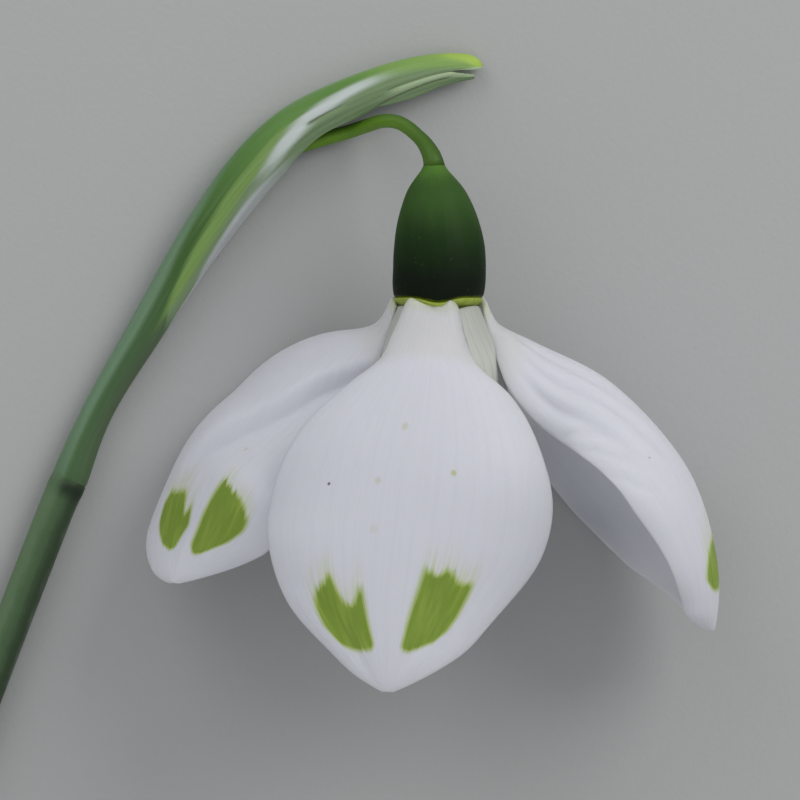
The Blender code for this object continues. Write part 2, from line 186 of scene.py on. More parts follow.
class Wiring:
    """The nodes of one material, joined up a step at a time."""

    def __init__(self, name: str) -> None:
        """Start a material whose shader has nothing joined to it yet.

        Args:
            name: the material's name.
        """
        self.material = bpy.data.materials.new(name)
        self.material.use_nodes = True
        self.tree = self.material.node_tree
        self.shader = self.tree.nodes["Principled BSDF"]

    def add(self, kind: str, inputs: dict | None = None, **settings: object) -> bpy.types.Node:
        """Add a node.

        Args:
            kind: the node's type.
            inputs: what goes into its sockets, by name or number.
            **settings: the node's own properties.

        Returns:
            The node.
        """
        node = self.tree.nodes.new(kind)
        for key, value in settings.items():
            setattr(node, key, value)
        for key, value in (inputs or {}).items():
            if isinstance(value, bpy.types.NodeSocket):
                self.tree.links.new(value, node.inputs[key])
            else:
                node.inputs[key].default_value = value
        return node

    def math(self, operation: str, a: Source, b: Source = 0.0, clamp: bool = False) -> Source:
        """Work out one number from one or two others."""
        node = self.add("ShaderNodeMath", {0: a, 1: b}, operation=operation, use_clamp=clamp)
        return node.outputs[0]

    def times(self, *factors: Source) -> Source:
        """Multiply several numbers.

        Args:
            *factors: the numbers.

        Returns:
            Their product.
        """
        product = factors[0]
        for factor in factors[1:]:
            product = self.math("MULTIPLY", product, factor)
        return product

    def plus(self, *terms: Source) -> Source:
        """Add several numbers.

        Args:
            *terms: the numbers.

        Returns:
            Their sum.
        """
        total = terms[0]
        for term in terms[1:]:
            total = self.math("ADD", total, term)
        return total

    def swing(self, value: Source, reach: float) -> Source:
        """Turn a number from 0 to 1 into one that swings either side of 0, over the reach."""
        return self.times(self.math("SUBTRACT", value, 0.5), reach)

    def most(self, *values: Source) -> Source:
        """Take the largest of several numbers.

        Args:
            *values: the numbers.

        Returns:
            The largest.
        """
        largest = values[0]
        for value in values[1:]:
            largest = self.math("MAXIMUM", largest, value)
        return largest

    def soft(self, value: Source, low: Source, high: Source) -> Source:
        """Rise softly from 0 at low to 1 at high."""
        node = self.add("ShaderNodeMapRange", {0: value, 1: low, 2: high}, interpolation_type="SMOOTHSTEP")
        return node.outputs[0]

    def hump(self, value: Source, centre: Source, width: float) -> Source:
        """Rise to 1 at the centre and fall softly to 0 a width away on both sides."""
        away = self.math("ABSOLUTE", self.math("SUBTRACT", value, centre))
        return self.soft(away, width, 0.0)

    def outline(self, value: Source, points: Profile, sharp: bool = True) -> Source:
        """Read a drawn curve.

        Args:
            value: where to read it, from 0 to 1.
            points: the curve's points, both numbers from 0 to 1.
            sharp: whether it has corners at its points.

        Returns:
            The curve's height there.
        """
        node = self.add("ShaderNodeFloatCurve", {1: value})
        curve = node.mapping.curves[0]
        curve.points[0].location = points[0]
        curve.points[1].location = points[-1]
        for point in points[1:-1]:
            curve.points.new(*point)
        for point in curve.points:
            point.handle_type = "VECTOR" if sharp else "AUTO_CLAMPED"
        node.mapping.extend = "HORIZONTAL"
        node.mapping.update()
        return node.outputs[0]

    def skin(self) -> tuple[Source, Source]:
        """Give the piece's own two coordinates: round or across it, and along it.

        Returns:
            The two coordinates.
        """
        where = self.add("ShaderNodeUVMap", uv_map=SKIN).outputs[0]
        parts = self.add("ShaderNodeSeparateXYZ", {0: where}).outputs
        return parts[0], parts[1]

    def body(self) -> Source:
        """Give the point in the object's own space."""
        return self.add("ShaderNodeTexCoord").outputs["Object"]

    def join(self, x: Source, y: Source, z: Source = 0.0) -> Source:
        """Make a vector of three numbers."""
        return self.add("ShaderNodeCombineXYZ", {0: x, 1: y, 2: z}).outputs[0]

    def noise(self, where: Source, scale: float, detail: float = 2.0, rough: float = 0.5) -> Source:
        """Read soft noise from 0 to 1.

        Args:
            where: the vector to read it at.
            scale: how fine it is.
            detail: how many finer layers it has.
            rough: how strong those layers are.

        Returns:
            The noise.
        """
        inputs = {"Vector": where, "Scale": scale, "Detail": detail, "Roughness": rough}
        return self.add("ShaderNodeTexNoise", inputs).outputs[0]

    def fibres(self, u: Source, v: Source, fine: float, long: float, detail: float = 2.0) -> Source:
        """Read noise drawn out along the piece: fine sets how narrow it is and long how short."""
        return self.noise(self.join(self.times(u, fine), self.times(v, long)), 1.0, detail)

    def blend(self, share: Source, first: Source | Colour, second: Source | Colour) -> Source:
        """Mix two colours, all first at 0 and all second at 1.

        Args:
            share: how much of the second colour there is, from 0 to 1.
            first: the first colour.
            second: the second colour.

        Returns:
            The mixed colour.
        """
        def filled(colour: Source | Colour) -> Source | tuple:
            """Give a plain colour its fourth number."""
            return colour if isinstance(colour, bpy.types.NodeSocket) else (*colour, 1.0)

        inputs = {0: share, 6: filled(first), 7: filled(second)}
        return self.add("ShaderNodeMix", inputs, data_type="RGBA").outputs[2]

    def relief(self, height: Source, depth: float) -> Source:
        """Turn a height from 0 to 1 into bumps that many metres deep."""
        inputs = {"Height": height, "Distance": depth, "Strength": 1.0}
        return self.add("ShaderNodeBump", inputs).outputs[0]

    def feed(self, **sources: Source) -> None:
        """Join sources to the shader's sockets, named in lower case with underscores."""
        for name, source in sources.items():
            self.tree.links.new(source, self.shader.inputs[name.replace("_", " ").title()])

    def fix(self, **values: float | tuple) -> None:
        """Set the shader's own sockets, named in lower case with underscores.

        Args:
            **values: the values, by socket.
        """
        for name, value in values.items():
            socket = name.replace("_", " ").title().replace("Ior", "IOR")
            self.shader.inputs[socket].default_value = value


# ---------------------------------------------------------------- finishes


@dataclass(frozen=True)
class Marks:
    """The green marks near a tepal's tip, as the two lines that bound them.

    Both lines give the place along the tepal for places across it, from 0 at its left margin to 1.
    Where the upper line is below the lower one there is no mark.
    """

    upper: Profile
    lower: Profile


@dataclass(frozen=True)
class Speck:
    """A tiny spot in a tepal's skin."""

    across: float
    along: float
    size: float  # millimetres
    colour: Colour
    strength: float


@dataclass(frozen=True)
class TepalFinish:
    """Cool white petal tissue with fine veins, a warmer claw and green marks."""

    blade: Colour = (0.76, 0.765, 0.86)
    vein: Colour = (0.66, 0.67, 0.75)
    claw: Colour = (0.74, 0.725, 0.72)
    base: Colour = (0.62, 0.66, 0.50)
    mark: Colour = (0.20, 0.31, 0.018)
    mark_light: Colour = (0.34, 0.45, 0.06)
    halo: Colour = (0.60, 0.66, 0.36)
    roughness: float = 0.5
    veins: float = 17.0
    vein_depth: float = 0.000014
    cell_depth: float = 0.000012
    light_through: float = 0.8
    light_depth: float = 0.0015
    mark_steps: tuple[float, ...] = (-0.014, -0.005, 0.005, 0.014)  # across, over which its edge is softened
    mark_fray: float = 0.036  # along the tepal

    def material(self, name: str, length: float, half_width: float, marks: Marks,
                 specks: tuple[Speck, ...]) -> bpy.types.Material:
        """Make the material of one tepal.

        Args:
            name: the material's name.
            length: the tepal's length in millimetres.
            half_width: its largest half width in millimetres.
            marks: its green marks.
            specks: its tiny spots.

        Returns:
            The material.
        """
        w = Wiring(name)
        u, v = w.skin()
        point = w.body()
        wander = w.swing(w.fibres(u, v, 5.0, 2.0), 0.03)
        lines = w.math("COSINE", w.times(w.plus(u, wander), 2 * math.pi * self.veins))
        veins = w.soft(lines, 0.35, 1.0)
        fibres = w.fibres(u, v, 90.0, 5.0, 3.0)
        cloud = w.noise(point, 260.0, 3.0)
        shade = w.plus(w.times(veins, 0.09), w.times(w.soft(fibres, 0.42, 0.75), 0.18), w.times(cloud, 0.3))
        colour = w.blend(shade, self.blade, self.vein)
        colour = w.blend(w.soft(v, 0.21, 0.15), colour, w.blend(w.times(fibres, 0.4), self.claw, self.vein))
        colour = w.blend(w.soft(v, 0.035, 0.0), colour, self.base)
        colour = self.with_marks(w, u, v, fibres, colour, marks)
        for speck in specks:
            colour = self.with_speck(w, u, v, colour, speck, length, half_width)
        cells = w.noise(point, 5200.0, 1.0)
        height = w.plus(w.times(veins, -0.5), w.times(fibres, 0.5))
        normal = w.add("ShaderNodeBump", {"Height": cells, "Distance": self.cell_depth, "Strength": 1.0})
        outer = w.add("ShaderNodeBump", {"Height": height, "Distance": self.vein_depth, "Strength": 1.0,
                                         "Normal": normal.outputs[0]})
        w.feed(base_color=colour, normal=outer.outputs[0],
               roughness=w.plus(self.roughness - 0.05, w.times(fibres, 0.12)))
        w.fix(subsurface_weight=self.light_through, subsurface_radius=(1.0, 0.97, 0.92),
              subsurface_scale=self.light_depth, specular_ior_level=0.3)
        return w.material

    def with_marks(self, w: Wiring, u: Source, v: Source, fibres: Source, colour: Source,
                   marks: Marks) -> Source:
        """Lay the green marks over a colour, with feathered ends and streaks that fade upwards.

        Args:
            w: the material's wiring.
            u: the place across the tepal.
            v: the place along it.
            fibres: noise drawn out along it.
            colour: the colour under the marks.
            marks: the marks.

        Returns:
            The colour with its marks.
        """
        frayed = w.swing(w.fibres(u, v, 70.0, 5.0, 2.0), self.mark_fray)
        inside, fade = 0.0, 0.0
        for step in self.mark_steps:
            at = w.plus(u, step)
            below = w.math("SUBTRACT", v, w.plus(w.outline(at, marks.upper), frayed))
            above = w.math("SUBTRACT", w.plus(w.outline(at, marks.lower), w.times(frayed, 0.35)), v)
            share = 1 / len(self.mark_steps)
            filled = w.times(w.soft(below, -0.016, 0.018), w.soft(above, -0.014, 0.015), share)
            faded = w.times(w.soft(below, -0.085, 0.01), w.soft(above, -0.02, 0.02), share)
            inside = w.plus(inside, filled)
            fade = w.plus(fade, faded)
        colour = w.blend(w.times(fade, w.soft(fibres, 0.25, 0.7), 0.75), colour, self.halo)
        tone = w.plus(w.times(w.fibres(u, v, 34.0, 7.0, 3.0), 0.9), w.times(w.soft(inside, 1.0, 0.5), 0.6))
        green = w.blend(w.soft(tone, 0.35, 0.85), self.mark, self.mark_light)
        return w.blend(w.times(w.soft(inside, 0.05, 0.95), 0.97), colour, green)

    def with_speck(self, w: Wiring, u: Source, v: Source, colour: Source, speck: Speck,
                   length: float, half_width: float) -> Source:
        """Lay one tiny spot over a colour.

        Args:
            w: the material's wiring.
            u: the place across the tepal.
            v: the place along it.
            colour: the colour under the spot.
            speck: the spot.
            length: the tepal's length in millimetres.
            half_width: its half width in millimetres.

        Returns:
            The colour with its spot.
        """
        x = w.times(w.math("SUBTRACT", u, speck.across), 2 * half_width)
        y = w.times(w.math("SUBTRACT", v, speck.along), length)
        far = w.math("SQRT", w.plus(w.times(x, x), w.times(y, y)))
        near = w.times(w.soft(far, speck.size, speck.size * 0.35), speck.strength)
        return w.blend(near, colour, speck.colour)


@dataclass(frozen=True)
class InnerTepalFinish:
    """Olive-white tissue with a green arch round the notch."""

    blade: Colour = (0.64, 0.645, 0.60)
    claw: Colour = (0.50, 0.515, 0.47)
    vein: Colour = (0.47, 0.49, 0.42)
    mark: Colour = (0.13, 0.25, 0.03)
    roughness: float = 0.5
    veins: int = 9

    def material(self, name: str) -> bpy.types.Material:
        """Make the material.

        Args:
            name: the material's name.

        Returns:
            The material.
        """
        w = Wiring(name)
        u, v = w.skin()
        fibres = w.fibres(u, v, 45.0, 3.0, 3.0)
        lines = w.soft(w.math("COSINE", w.times(u, 2 * math.pi * self.veins)), 0.5, 1.0)
        colour = w.blend(w.plus(w.times(lines, 0.4), w.times(fibres, 0.3)), self.blade, self.vein)
        colour = w.blend(w.soft(v, 0.45, 0.0), colour, self.claw)
        off = w.math("ABSOLUTE", w.math("SUBTRACT", u, 0.5))
        arch = w.plus(0.93, w.times(off, off, -1.6))
        frayed = w.swing(fibres, 0.05)
        inside = w.hump(v, w.plus(w.math("SUBTRACT", arch, 0.09), frayed), 0.075)
        inside = w.times(inside, w.soft(off, 0.36, 0.28))
        colour = w.blend(w.soft(inside, 0.1, 0.5), colour, self.mark)
        w.feed(base_color=colour, normal=w.relief(w.plus(fibres, w.times(lines, -0.5)), 0.00003),
               roughness=w.plus(self.roughness - 0.05, w.times(fibres, 0.1)))
        w.fix(subsurface_weight=0.3, subsurface_radius=(1.0, 1.0, 0.7), subsurface_scale=0.0005,
              specular_ior_level=0.4)
        return w.material


@dataclass(frozen=True)
class StemFinish:
    """Green stem skin, fine lines along it, pale wax and painted light on the left, painted shade on the
    right.
    """

    skin: Colour = (0.062, 0.122, 0.05)
    # the pale colour of the left side: partly glaucous wax, partly painted light
    bloom_and_painted_light: Colour = (0.125, 0.21, 0.105)
    shade: Colour = (0.03, 0.06, 0.023)
    # a thin pale line of painted sheen along the right edge
    painted_edge_sheen: Colour = (0.13, 0.145, 0.125)
    # the dark node, with painted shade that deepens it on the right side
    node_and_painted_shade: Colour = (0.011, 0.024, 0.009)
    roughness: float = 0.52

    def material(self, name: str, node_at: float) -> bpy.types.Material:
        """Make the material.

        Args:
            name: the material's name.
            node_at: how far along the stem its dark node is, from 0 to 1.

        Returns:
            The material.
        """
        w = Wiring(name)
        u, v = w.skin()
        point = w.body()
        lines = w.fibres(u, v, 46.0, 5.0, 3.0)
        powder = w.noise(point, 700.0, 4.0, 0.65)
        # painted light and shade: paler towards the left side (u near 0.75), darker towards the right, with a
        # thin pale line of painted sheen along the right edge
        side = w.math("COSINE", w.times(w.math("SUBTRACT", u, 0.75), 2 * math.pi))
        side = w.plus(side, w.swing(powder, 0.5), w.swing(lines, 0.3))
        colour = w.blend(w.soft(side, -0.6, 0.0), self.shade, self.skin)
        colour = w.blend(w.soft(side, -0.05, 0.75), colour, self.bloom_and_painted_light)
        colour = w.blend(w.times(w.soft(lines, 0.58, 0.75), 0.3), colour, self.shade)
        colour = w.blend(w.times(w.soft(side, -0.78, -1.1), 0.7), colour, self.painted_edge_sheen)
        # the dark node ring, made much darker on the shaded right side by painted shade
        ring = w.hump(w.plus(v, w.swing(powder, 0.03)), node_at, 0.036)
        under = w.soft(side, 0.55, -0.1)
        colour = w.blend(w.times(ring, w.plus(0.2, w.times(under, 0.78))), colour, self.node_and_painted_shade)
        height = w.plus(w.times(lines, 0.8), w.times(powder, 0.2))
        w.feed(base_color=colour, normal=w.relief(height, 0.00005),
               roughness=w.plus(self.roughness - 0.08, w.times(powder, 0.2)))
        w.fix(subsurface_weight=0.08, subsurface_radius=(0.5, 1.0, 0.3), subsurface_scale=0.0006,
              specular_ior_level=0.35)
        return w.material


@dataclass(frozen=True)
class PedicelFinish:
    """Shiny fresh green stalk, painted yellower on its lit side, with painted shade in the sheath and at the
    neck.
    """

    skin: Colour = (0.05, 0.13, 0.008)
    light: Colour = (0.16, 0.33, 0.022)
    shade: Colour = (0.022, 0.07, 0.004)
    roughness: float = 0.42

    def material(self, name: str) -> bpy.types.Material:
        """Make the material.

        Args:
            name: the material's name.

        Returns:
            The material.
        """
        w = Wiring(name)
        u, v = w.skin()
        lines = w.fibres(u, v, 26.0, 9.0, 3.0)
        mottle = w.noise(w.body(), 900.0, 3.0)
        lit = w.soft(w.math("COSINE", w.times(w.math("SUBTRACT", u, 0.12), 2 * math.pi)), -0.5, 1.0)
        colour = w.blend(w.times(lit, w.plus(0.65, w.times(mottle, 0.5))), self.skin, self.light)
        colour = w.blend(w.times(w.soft(lines, 0.55, 0.8), 0.4), colour, self.shade)
        # painted shade: darker near the ovary's neck and over the part in and just out of the sheath
        neck_painted_shade = w.times(w.soft(v, 0.82, 0.98), 0.65)
        sheath_painted_shade = w.times(w.soft(v, 0.68, 0.58), 0.8)
        colour = w.blend(w.most(neck_painted_shade, sheath_painted_shade), colour, self.shade)
        w.feed(base_color=colour, normal=w.relief(lines, 0.00004),
               roughness=w.plus(self.roughness, w.times(mottle, 0.12)))
        w.fix(subsurface_weight=0.12, subsurface_radius=(0.5, 1.0, 0.2), subsurface_scale=0.0006,
              specular_ior_level=0.35)
        return w.material


@dataclass(frozen=True)
class Band:
    """A stripe along the sheath: where its middle and edges are round it, and how strong it is.

    Each line gives its value for places along the sheath, from 0 to 1. The middle is in degrees from the
    upper keel and the half width in degrees.
    """

    colour: Colour
    middle: Profile
    half_width: Profile
    strength: Profile
    softness: float = 5.0  # degrees
    frayed: float = 6.0  # degrees


@dataclass(frozen=True)
class SpatheFinish:
    """The sheath: green keels under wax and painted light, yellow-green streaks, and a silvery membrane
    between.
    """

    tube: Colour = (0.062, 0.13, 0.048)
    keel: Colour = (0.048, 0.125, 0.02)
    keel_light: Colour = (0.11, 0.25, 0.045)
    silk: Colour = (0.5, 0.56, 0.5)
    roughness: float = 0.46
    bands: tuple[Band, ...] = (
        # the olive side of the tube
        Band((0.10, 0.13, 0.075), ((0.0, 150.0), (0.3, 150.0), (1.0, 150.0)), ((0.0, 34.0), (1.0, 34.0)),
             ((0.0, 0.3), (0.2, 0.6), (0.33, 0.2), (0.4, 0.0), (1.0, 0.0)), 20.0),
        # the pale wax on its upper side, partly painted light that makes that side paler
        Band((0.17, 0.29, 0.17), ((0.0, -5.0), (0.3, -5.0), (0.5, -10.0), (1.0, -15.0)),
             ((0.0, 76.0), (0.2, 76.0), (0.35, 70.0), (0.42, 60.0), (0.5, 52.0), (0.6, 40.0), (0.8, 36.0),
              (1.0, 30.0)),
             ((0.0, 0.55), (0.15, 0.9), (0.3, 0.95), (0.5, 0.9), (0.8, 0.6), (0.95, 0.0), (1.0, 0.0)),
             12.0, 9.0),
        # and along the edge of the hood, also partly painted light
        Band((0.31, 0.46, 0.26), ((0.0, -8.0), (1.0, -8.0)),
             ((0.0, 10.0), (0.5, 22.0), (0.65, 30.0), (0.8, 34.0), (1.0, 30.0)),
             ((0.0, 0.0), (0.4, 0.2), (0.55, 0.7), (0.75, 1.0), (0.9, 0.7), (1.0, 0.0)), 10.0, 9.0),
        # membrane
        Band((0.20, 0.29, 0.15), ((0.0, 150.0), (0.33, 150.0), (0.45, 146.0), (0.6, 140.0), (1.0, 138.0)),
             ((0.0, 2.0), (0.28, 4.0), (0.33, 36.0), (0.42, 54.0), (0.5, 58.0), (0.6, 62.0), (0.68, 68.0),
              (0.75, 82.0), (0.9, 92.0), (1.0, 95.0)),
             ((0.0, 0.0), (0.27, 0.0), (0.33, 1.0), (0.6, 1.0), (1.0, 0.85)), 5.0),
        # its silvery edge
        Band((0.50, 0.52, 0.54), ((0.0, 178.0), (0.35, 178.0), (0.45, 174.0), (0.6, 160.0), (1.0, 160.0)),
             ((0.0, 6.0), (0.3, 16.0), (0.36, 26.0), (0.42, 38.0), (0.5, 42.0), (0.6, 36.0), (1.0, 30.0)),
             ((0.0, 0.5), (0.2, 0.5), (0.3, 0.8), (0.36, 1.0), (0.5, 0.95), (0.62, 0.5), (0.7, 0.0),
              (1.0, 0.0)), 6.0, 8.0),
        # the bright silk of the hood
        Band((0.60, 0.66, 0.64), ((0.0, 120.0), (0.5, 124.0), (0.6, 108.0), (0.68, 88.0), (0.74, 74.0),
                                  (0.82, 62.0), (1.0, 58.0)),
             ((0.0, 6.0), (0.5, 8.0), (0.6, 13.0), (0.7, 15.0), (0.8, 12.0), (1.0, 10.0)),
             ((0.0, 0.0), (0.52, 0.0), (0.6, 0.45), (0.66, 0.95), (0.77, 1.0), (0.84, 0.5), (0.92, 0.0),
              (1.0, 0.0)), 8.0, 9.0),
        # the yellow-green streak
        Band((0.21, 0.35, 0.09), ((0.0, 118.0), (0.29, 118.0), (0.35, 112.0), (0.42, 102.0), (0.5, 96.0),
                                  (0.6, 86.0), (0.7, 66.0), (1.0, 50.0)),
             ((0.0, 6.0), (0.3, 8.0), (0.36, 14.0), (0.5, 15.0), (0.6, 11.0), (1.0, 6.0)),
             ((0.0, 0.0), (0.24, 0.0), (0.32, 0.6), (0.4, 1.0), (0.55, 0.95), (0.66, 0.6), (0.75, 0.0),
              (1.0, 0.0)), 7.0, 14.0),
        # the fresh green of the tip
        Band((0.25, 0.42, 0.10), ((0.0, 20.0), (1.0, 20.0)),
             ((0.0, 30.0), (0.7, 30.0), (0.86, 46.0), (1.0, 80.0)),
             ((0.0, 0.0), (0.74, 0.0), (0.86, 0.7), (0.93, 0.9), (1.0, 0.9)), 16.0, 10.0),
        Band((0.42, 0.60, 0.10), ((0.0, 10.0), (1.0, 10.0)),
             ((0.0, 20.0), (0.88, 24.0), (0.95, 40.0), (1.0, 90.0)),
             ((0.0, 0.0), (0.88, 0.0), (0.95, 0.7), (1.0, 1.0)), 16.0),
        # the lip of the lower lobe
        Band((0.44, 0.56, 0.34), ((0.0, 112.0), (0.8, 120.0), (0.9, 110.0), (1.0, 112.0)),
             ((0.0, 8.0), (0.85, 8.0), (0.95, 12.0), (1.0, 30.0)),
             ((0.0, 0.0), (0.8, 0.0), (0.87, 0.8), (1.0, 0.95)), 5.0),
        # painted shade: dark lines along the creases of two folds
        Band((0.075, 0.105, 0.02), ((0.0, 148.0), (0.78, 148.0), (0.83, 137.0), (0.88, 126.0), (0.95, 123.0),
                                    (1.0, 123.0)),
             ((0.0, 3.0), (0.8, 3.0), (0.88, 5.0), (0.95, 4.0), (1.0, 2.0)),
             ((0.0, 0.0), (0.79, 0.0), (0.83, 0.8), (0.93, 0.8), (0.965, 0.0), (1.0, 0.0)), 4.0, 3.0),
        Band((0.07, 0.11, 0.015), ((0.0, 92.0), (0.7, 92.0), (0.76, 90.0), (1.0, 90.0)),
             ((0.0, 4.0), (0.71, 5.0), (0.76, 2.0), (1.0, 1.0)),
             ((0.0, 0.0), (0.695, 0.0), (0.71, 0.9), (0.745, 0.8), (0.765, 0.0), (1.0, 0.0)), 3.0, 2.0),
    )

    def material(self, name: str) -> bpy.types.Material:
        """Make the material. Across the sheath 0.5 is its upper keel, and 1 and 0 its lower edge.

        Args:
            name: the material's name.

        Returns:
            The material.
        """
        w = Wiring(name)
        turn, v = w.skin()
        lines = w.fibres(turn, v, 110.0, 5.0, 3.0)
        broad = w.fibres(turn, v, 26.0, 4.0, 2.0)
        powder = w.noise(w.body(), 800.0, 3.0, 0.6)
        colour = w.blend(w.soft(v, 0.2, 0.45), self.tube, self.keel)
        colour = w.blend(w.plus(w.soft(v, 0.4, 0.7), w.swing(broad, 0.6)), colour, self.keel_light)
        grain = w.plus(w.times(broad, 0.6), w.times(lines, 0.4))
        for band in self.bands:
            colour = self.with_band(w, turn, v, grain, colour, band)
        streaks = w.times(w.soft(lines, 0.52, 0.8), 0.25)
        colour = w.blend(streaks, colour, w.blend(0.5, colour, self.silk))
        colour = w.blend(w.times(w.soft(lines, 0.48, 0.25), 0.25), colour, self.keel)
        height = w.plus(w.times(lines, 0.6), w.times(broad, 0.4))
        w.feed(base_color=colour, normal=w.relief(height, 0.00004),
               roughness=w.plus(self.roughness - 0.05, w.times(powder, 0.16)))
        w.fix(subsurface_weight=0.15, subsurface_radius=(0.7, 1.0, 0.5), subsurface_scale=0.0005,
              specular_ior_level=0.35)
        return w.material

    def with_band(self, w: Wiring, turn: Source, v: Source, grain: Source, colour: Source,
                  band: Band) -> Source:
        """Lay one stripe over a colour.

        Args:
            w: the material's wiring.
            turn: the place round the sheath, from 0 to 1.
            v: the place along it.
            grain: noise that frays the stripe's edges.
            colour: the colour under the stripe.
            band: the stripe.

        Returns:
            The colour with its stripe.
        """
        middle = tuple((at, degrees / 360 + 0.5) for at, degrees in band.middle)
        width = tuple((at, degrees / 360) for at, degrees in band.half_width)
        soft, frayed = band.softness / 360, band.frayed / 360
        off = w.math("ABSOLUTE", w.math("SUBTRACT", turn, w.outline(v, middle, sharp=False)))
        off = w.plus(off, w.swing(grain, frayed * 2))
        past = w.math("SUBTRACT", off, w.outline(v, width, sharp=False))
        inside = w.times(w.soft(past, soft, -soft), w.outline(v, band.strength, sharp=False))
        return w.blend(inside, colour, band.colour)


@dataclass(frozen=True)
class OvaryFinish:
    """Deep green, lighter at the neck and nearly black at the base, partly painted shade, with a soft waxy
    sheen.
    """

    neck: Colour = (0.085, 0.20, 0.028)
    upper: Colour = (0.04, 0.10, 0.018)
    middle: Colour = (0.009, 0.03, 0.004)
    base: Colour = (0.002, 0.007, 0.001)
    edge: Colour = (0.30, 0.40, 0.02)
    edge_softness: float = 0.03
    roughness: float = 0.56

    def material(self, name: str, edge_at: float) -> bpy.types.Material:
        """Make the material.

        Args:
            name: the material's name.
            edge_at: how far up the skin, from 0 to 1, its yellow-green bottom edge reaches.

        Returns:
            The material.
        """
        w = Wiring(name)
        u, v = w.skin()
        point = w.body()
        streaks = w.fibres(u, v, 42.0, 2.5, 3.0)
        cloud = w.noise(point, 420.0, 3.0)
        height = w.plus(v, w.swing(cloud, 0.16), w.swing(streaks, 0.05))
        # darker from the neck down to a nearly black base: partly its own tone, partly painted shade where it
        # meets the tepals
        colour = w.blend(w.soft(height, 0.30, 0.52), self.base, self.middle)
        colour = w.blend(w.soft(height, 0.46, 0.78), colour, self.upper)
        colour = w.blend(w.soft(height, 0.80, 0.97), colour, self.neck)
        pores = w.noise(point, 3600.0, 1.0)
        colour = w.blend(w.times(w.soft(pores, 0.68, 0.8), 0.3), colour, self.upper)
        edge = w.soft(w.plus(v, w.swing(streaks, 0.012)), edge_at, edge_at - self.edge_softness)
        colour = w.blend(edge, colour, self.edge)
        bumps = w.plus(w.times(streaks, 0.7), w.times(pores, 0.3))
        w.feed(base_color=colour, normal=w.relief(bumps, 0.00005),
               roughness=w.plus(self.roughness - 0.06, w.times(cloud, 0.16)))
        w.fix(subsurface_weight=0.05, subsurface_radius=(0.3, 1.0, 0.2), subsurface_scale=0.0005,
              specular_ior_level=0.14)
        return w.material


@dataclass(frozen=True)
class PlainFinish:
    """Tissue of a small inner piece: two tones in fine streaks along it."""

    tone: Colour
    streak: Colour
    end: Colour
    roughness: float = 0.5
    grain: float = 20.0

    def material(self, name: str) -> bpy.types.Material:
        """Make the material.

        Args:
            name: the material's name.

        Returns:
            The material.
        """
        w = Wiring(name)
        u, v = w.skin()
        lines = w.fibres(u, v, self.grain, 6.0, 3.0)
        dust = w.noise(w.body(), 4000.0, 2.0)
        colour = w.blend(w.soft(lines, 0.35, 0.75), self.tone, self.streak)
        colour = w.blend(w.times(w.soft(v, 0.75, 1.0), 0.8), colour, self.end)
        w.feed(base_color=colour, normal=w.relief(w.plus(w.times(lines, 0.6), w.times(dust, 0.4)), 0.00004),
               roughness=w.plus(self.roughness, w.times(dust, 0.15)))
        w.fix(subsurface_weight=0.15, subsurface_scale=0.0004)
        return w.material


# ---------------------------------------------------------------- making pieces


def seat(piece: bpy.types.Object, node: str) -> bpy.types.Object:
    """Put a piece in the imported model's place and tell what it stands for.

    Args:
        piece: the finished piece.
        node: the node that it replaces.

    Returns:
        The piece.
    """
    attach(piece, "root")
    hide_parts(node)
    log.info("%s: %d faces before rounding, for %s", piece.name, len(piece.data.polygons), node)
    return piece


def to_object(name: str, bm: bmesh.types.BMesh, material: bpy.types.Material) -> bpy.types.Object:
    """Turn a finished bmesh, already in metres and in place, into a smooth object.

    Args:
        name: the object's name.
        bm: the bmesh, which is freed.
        material: its material.

    Returns:
        The object.
    """
    for face in bm.faces:
        face.smooth = True
    mesh = bpy.data.meshes.new(name)
    bm.to_mesh(mesh)
    bm.free()
    mesh.materials.append(material)
    piece = bpy.data.objects.new(name, mesh)
    bpy.context.scene.collection.objects.link(piece)
    return piece


def round_off(piece: bpy.types.Object, levels: int = 1) -> None:
    """Smooth a piece with a Subdivision Surface.

    Args:
        piece: the piece.
        levels: how many times its faces are divided.
    """
    smooth = piece.modifiers.new("rounding", "SUBSURF")
    smooth.levels = levels
    smooth.render_levels = levels


def bent_grid(surface: np.ndarray, skin: np.ndarray, gone: Callable[[int, int], bool] | None = None,
              ) -> tuple[bmesh.types.BMesh, list[tuple[int, int]]]:
    """Bend a grid to a surface and give it its skin map.

    Args:
        surface: rows by columns of points, in metres.
        skin: rows by columns of the two skin coordinates.
        gone: says which faces to leave out, by their lowest row and column.

    Returns:
        The bmesh, and the row and column of each of its points.
    """
    rows, columns = surface.shape[:2]
    bm = bmesh.new()
    bmesh.ops.create_grid(bm, x_segments=columns - 1, y_segments=rows - 1, size=1.0)
    places = []
    for vertex in bm.verts:
        c = round((vertex.co.x + 1) / 2 * (columns - 1))
        r = round((vertex.co.y + 1) / 2 * (rows - 1))
        vertex.co = surface[r, c]
        places.append((r, c))
    layer = bm.loops.layers.uv.new(SKIN)
    cut = []
    for face in bm.faces:
        for corner in face.loops:
            corner[layer].uv = skin[places[corner.vert.index]]
        spots = [places[vertex.index] for vertex in face.verts]
        if gone is not None and gone(min(r for r, _ in spots), min(c for _, c in spots)):
            cut.append(face)
    bmesh.ops.delete(bm, geom=cut, context="FACES_ONLY")
    return bm, places


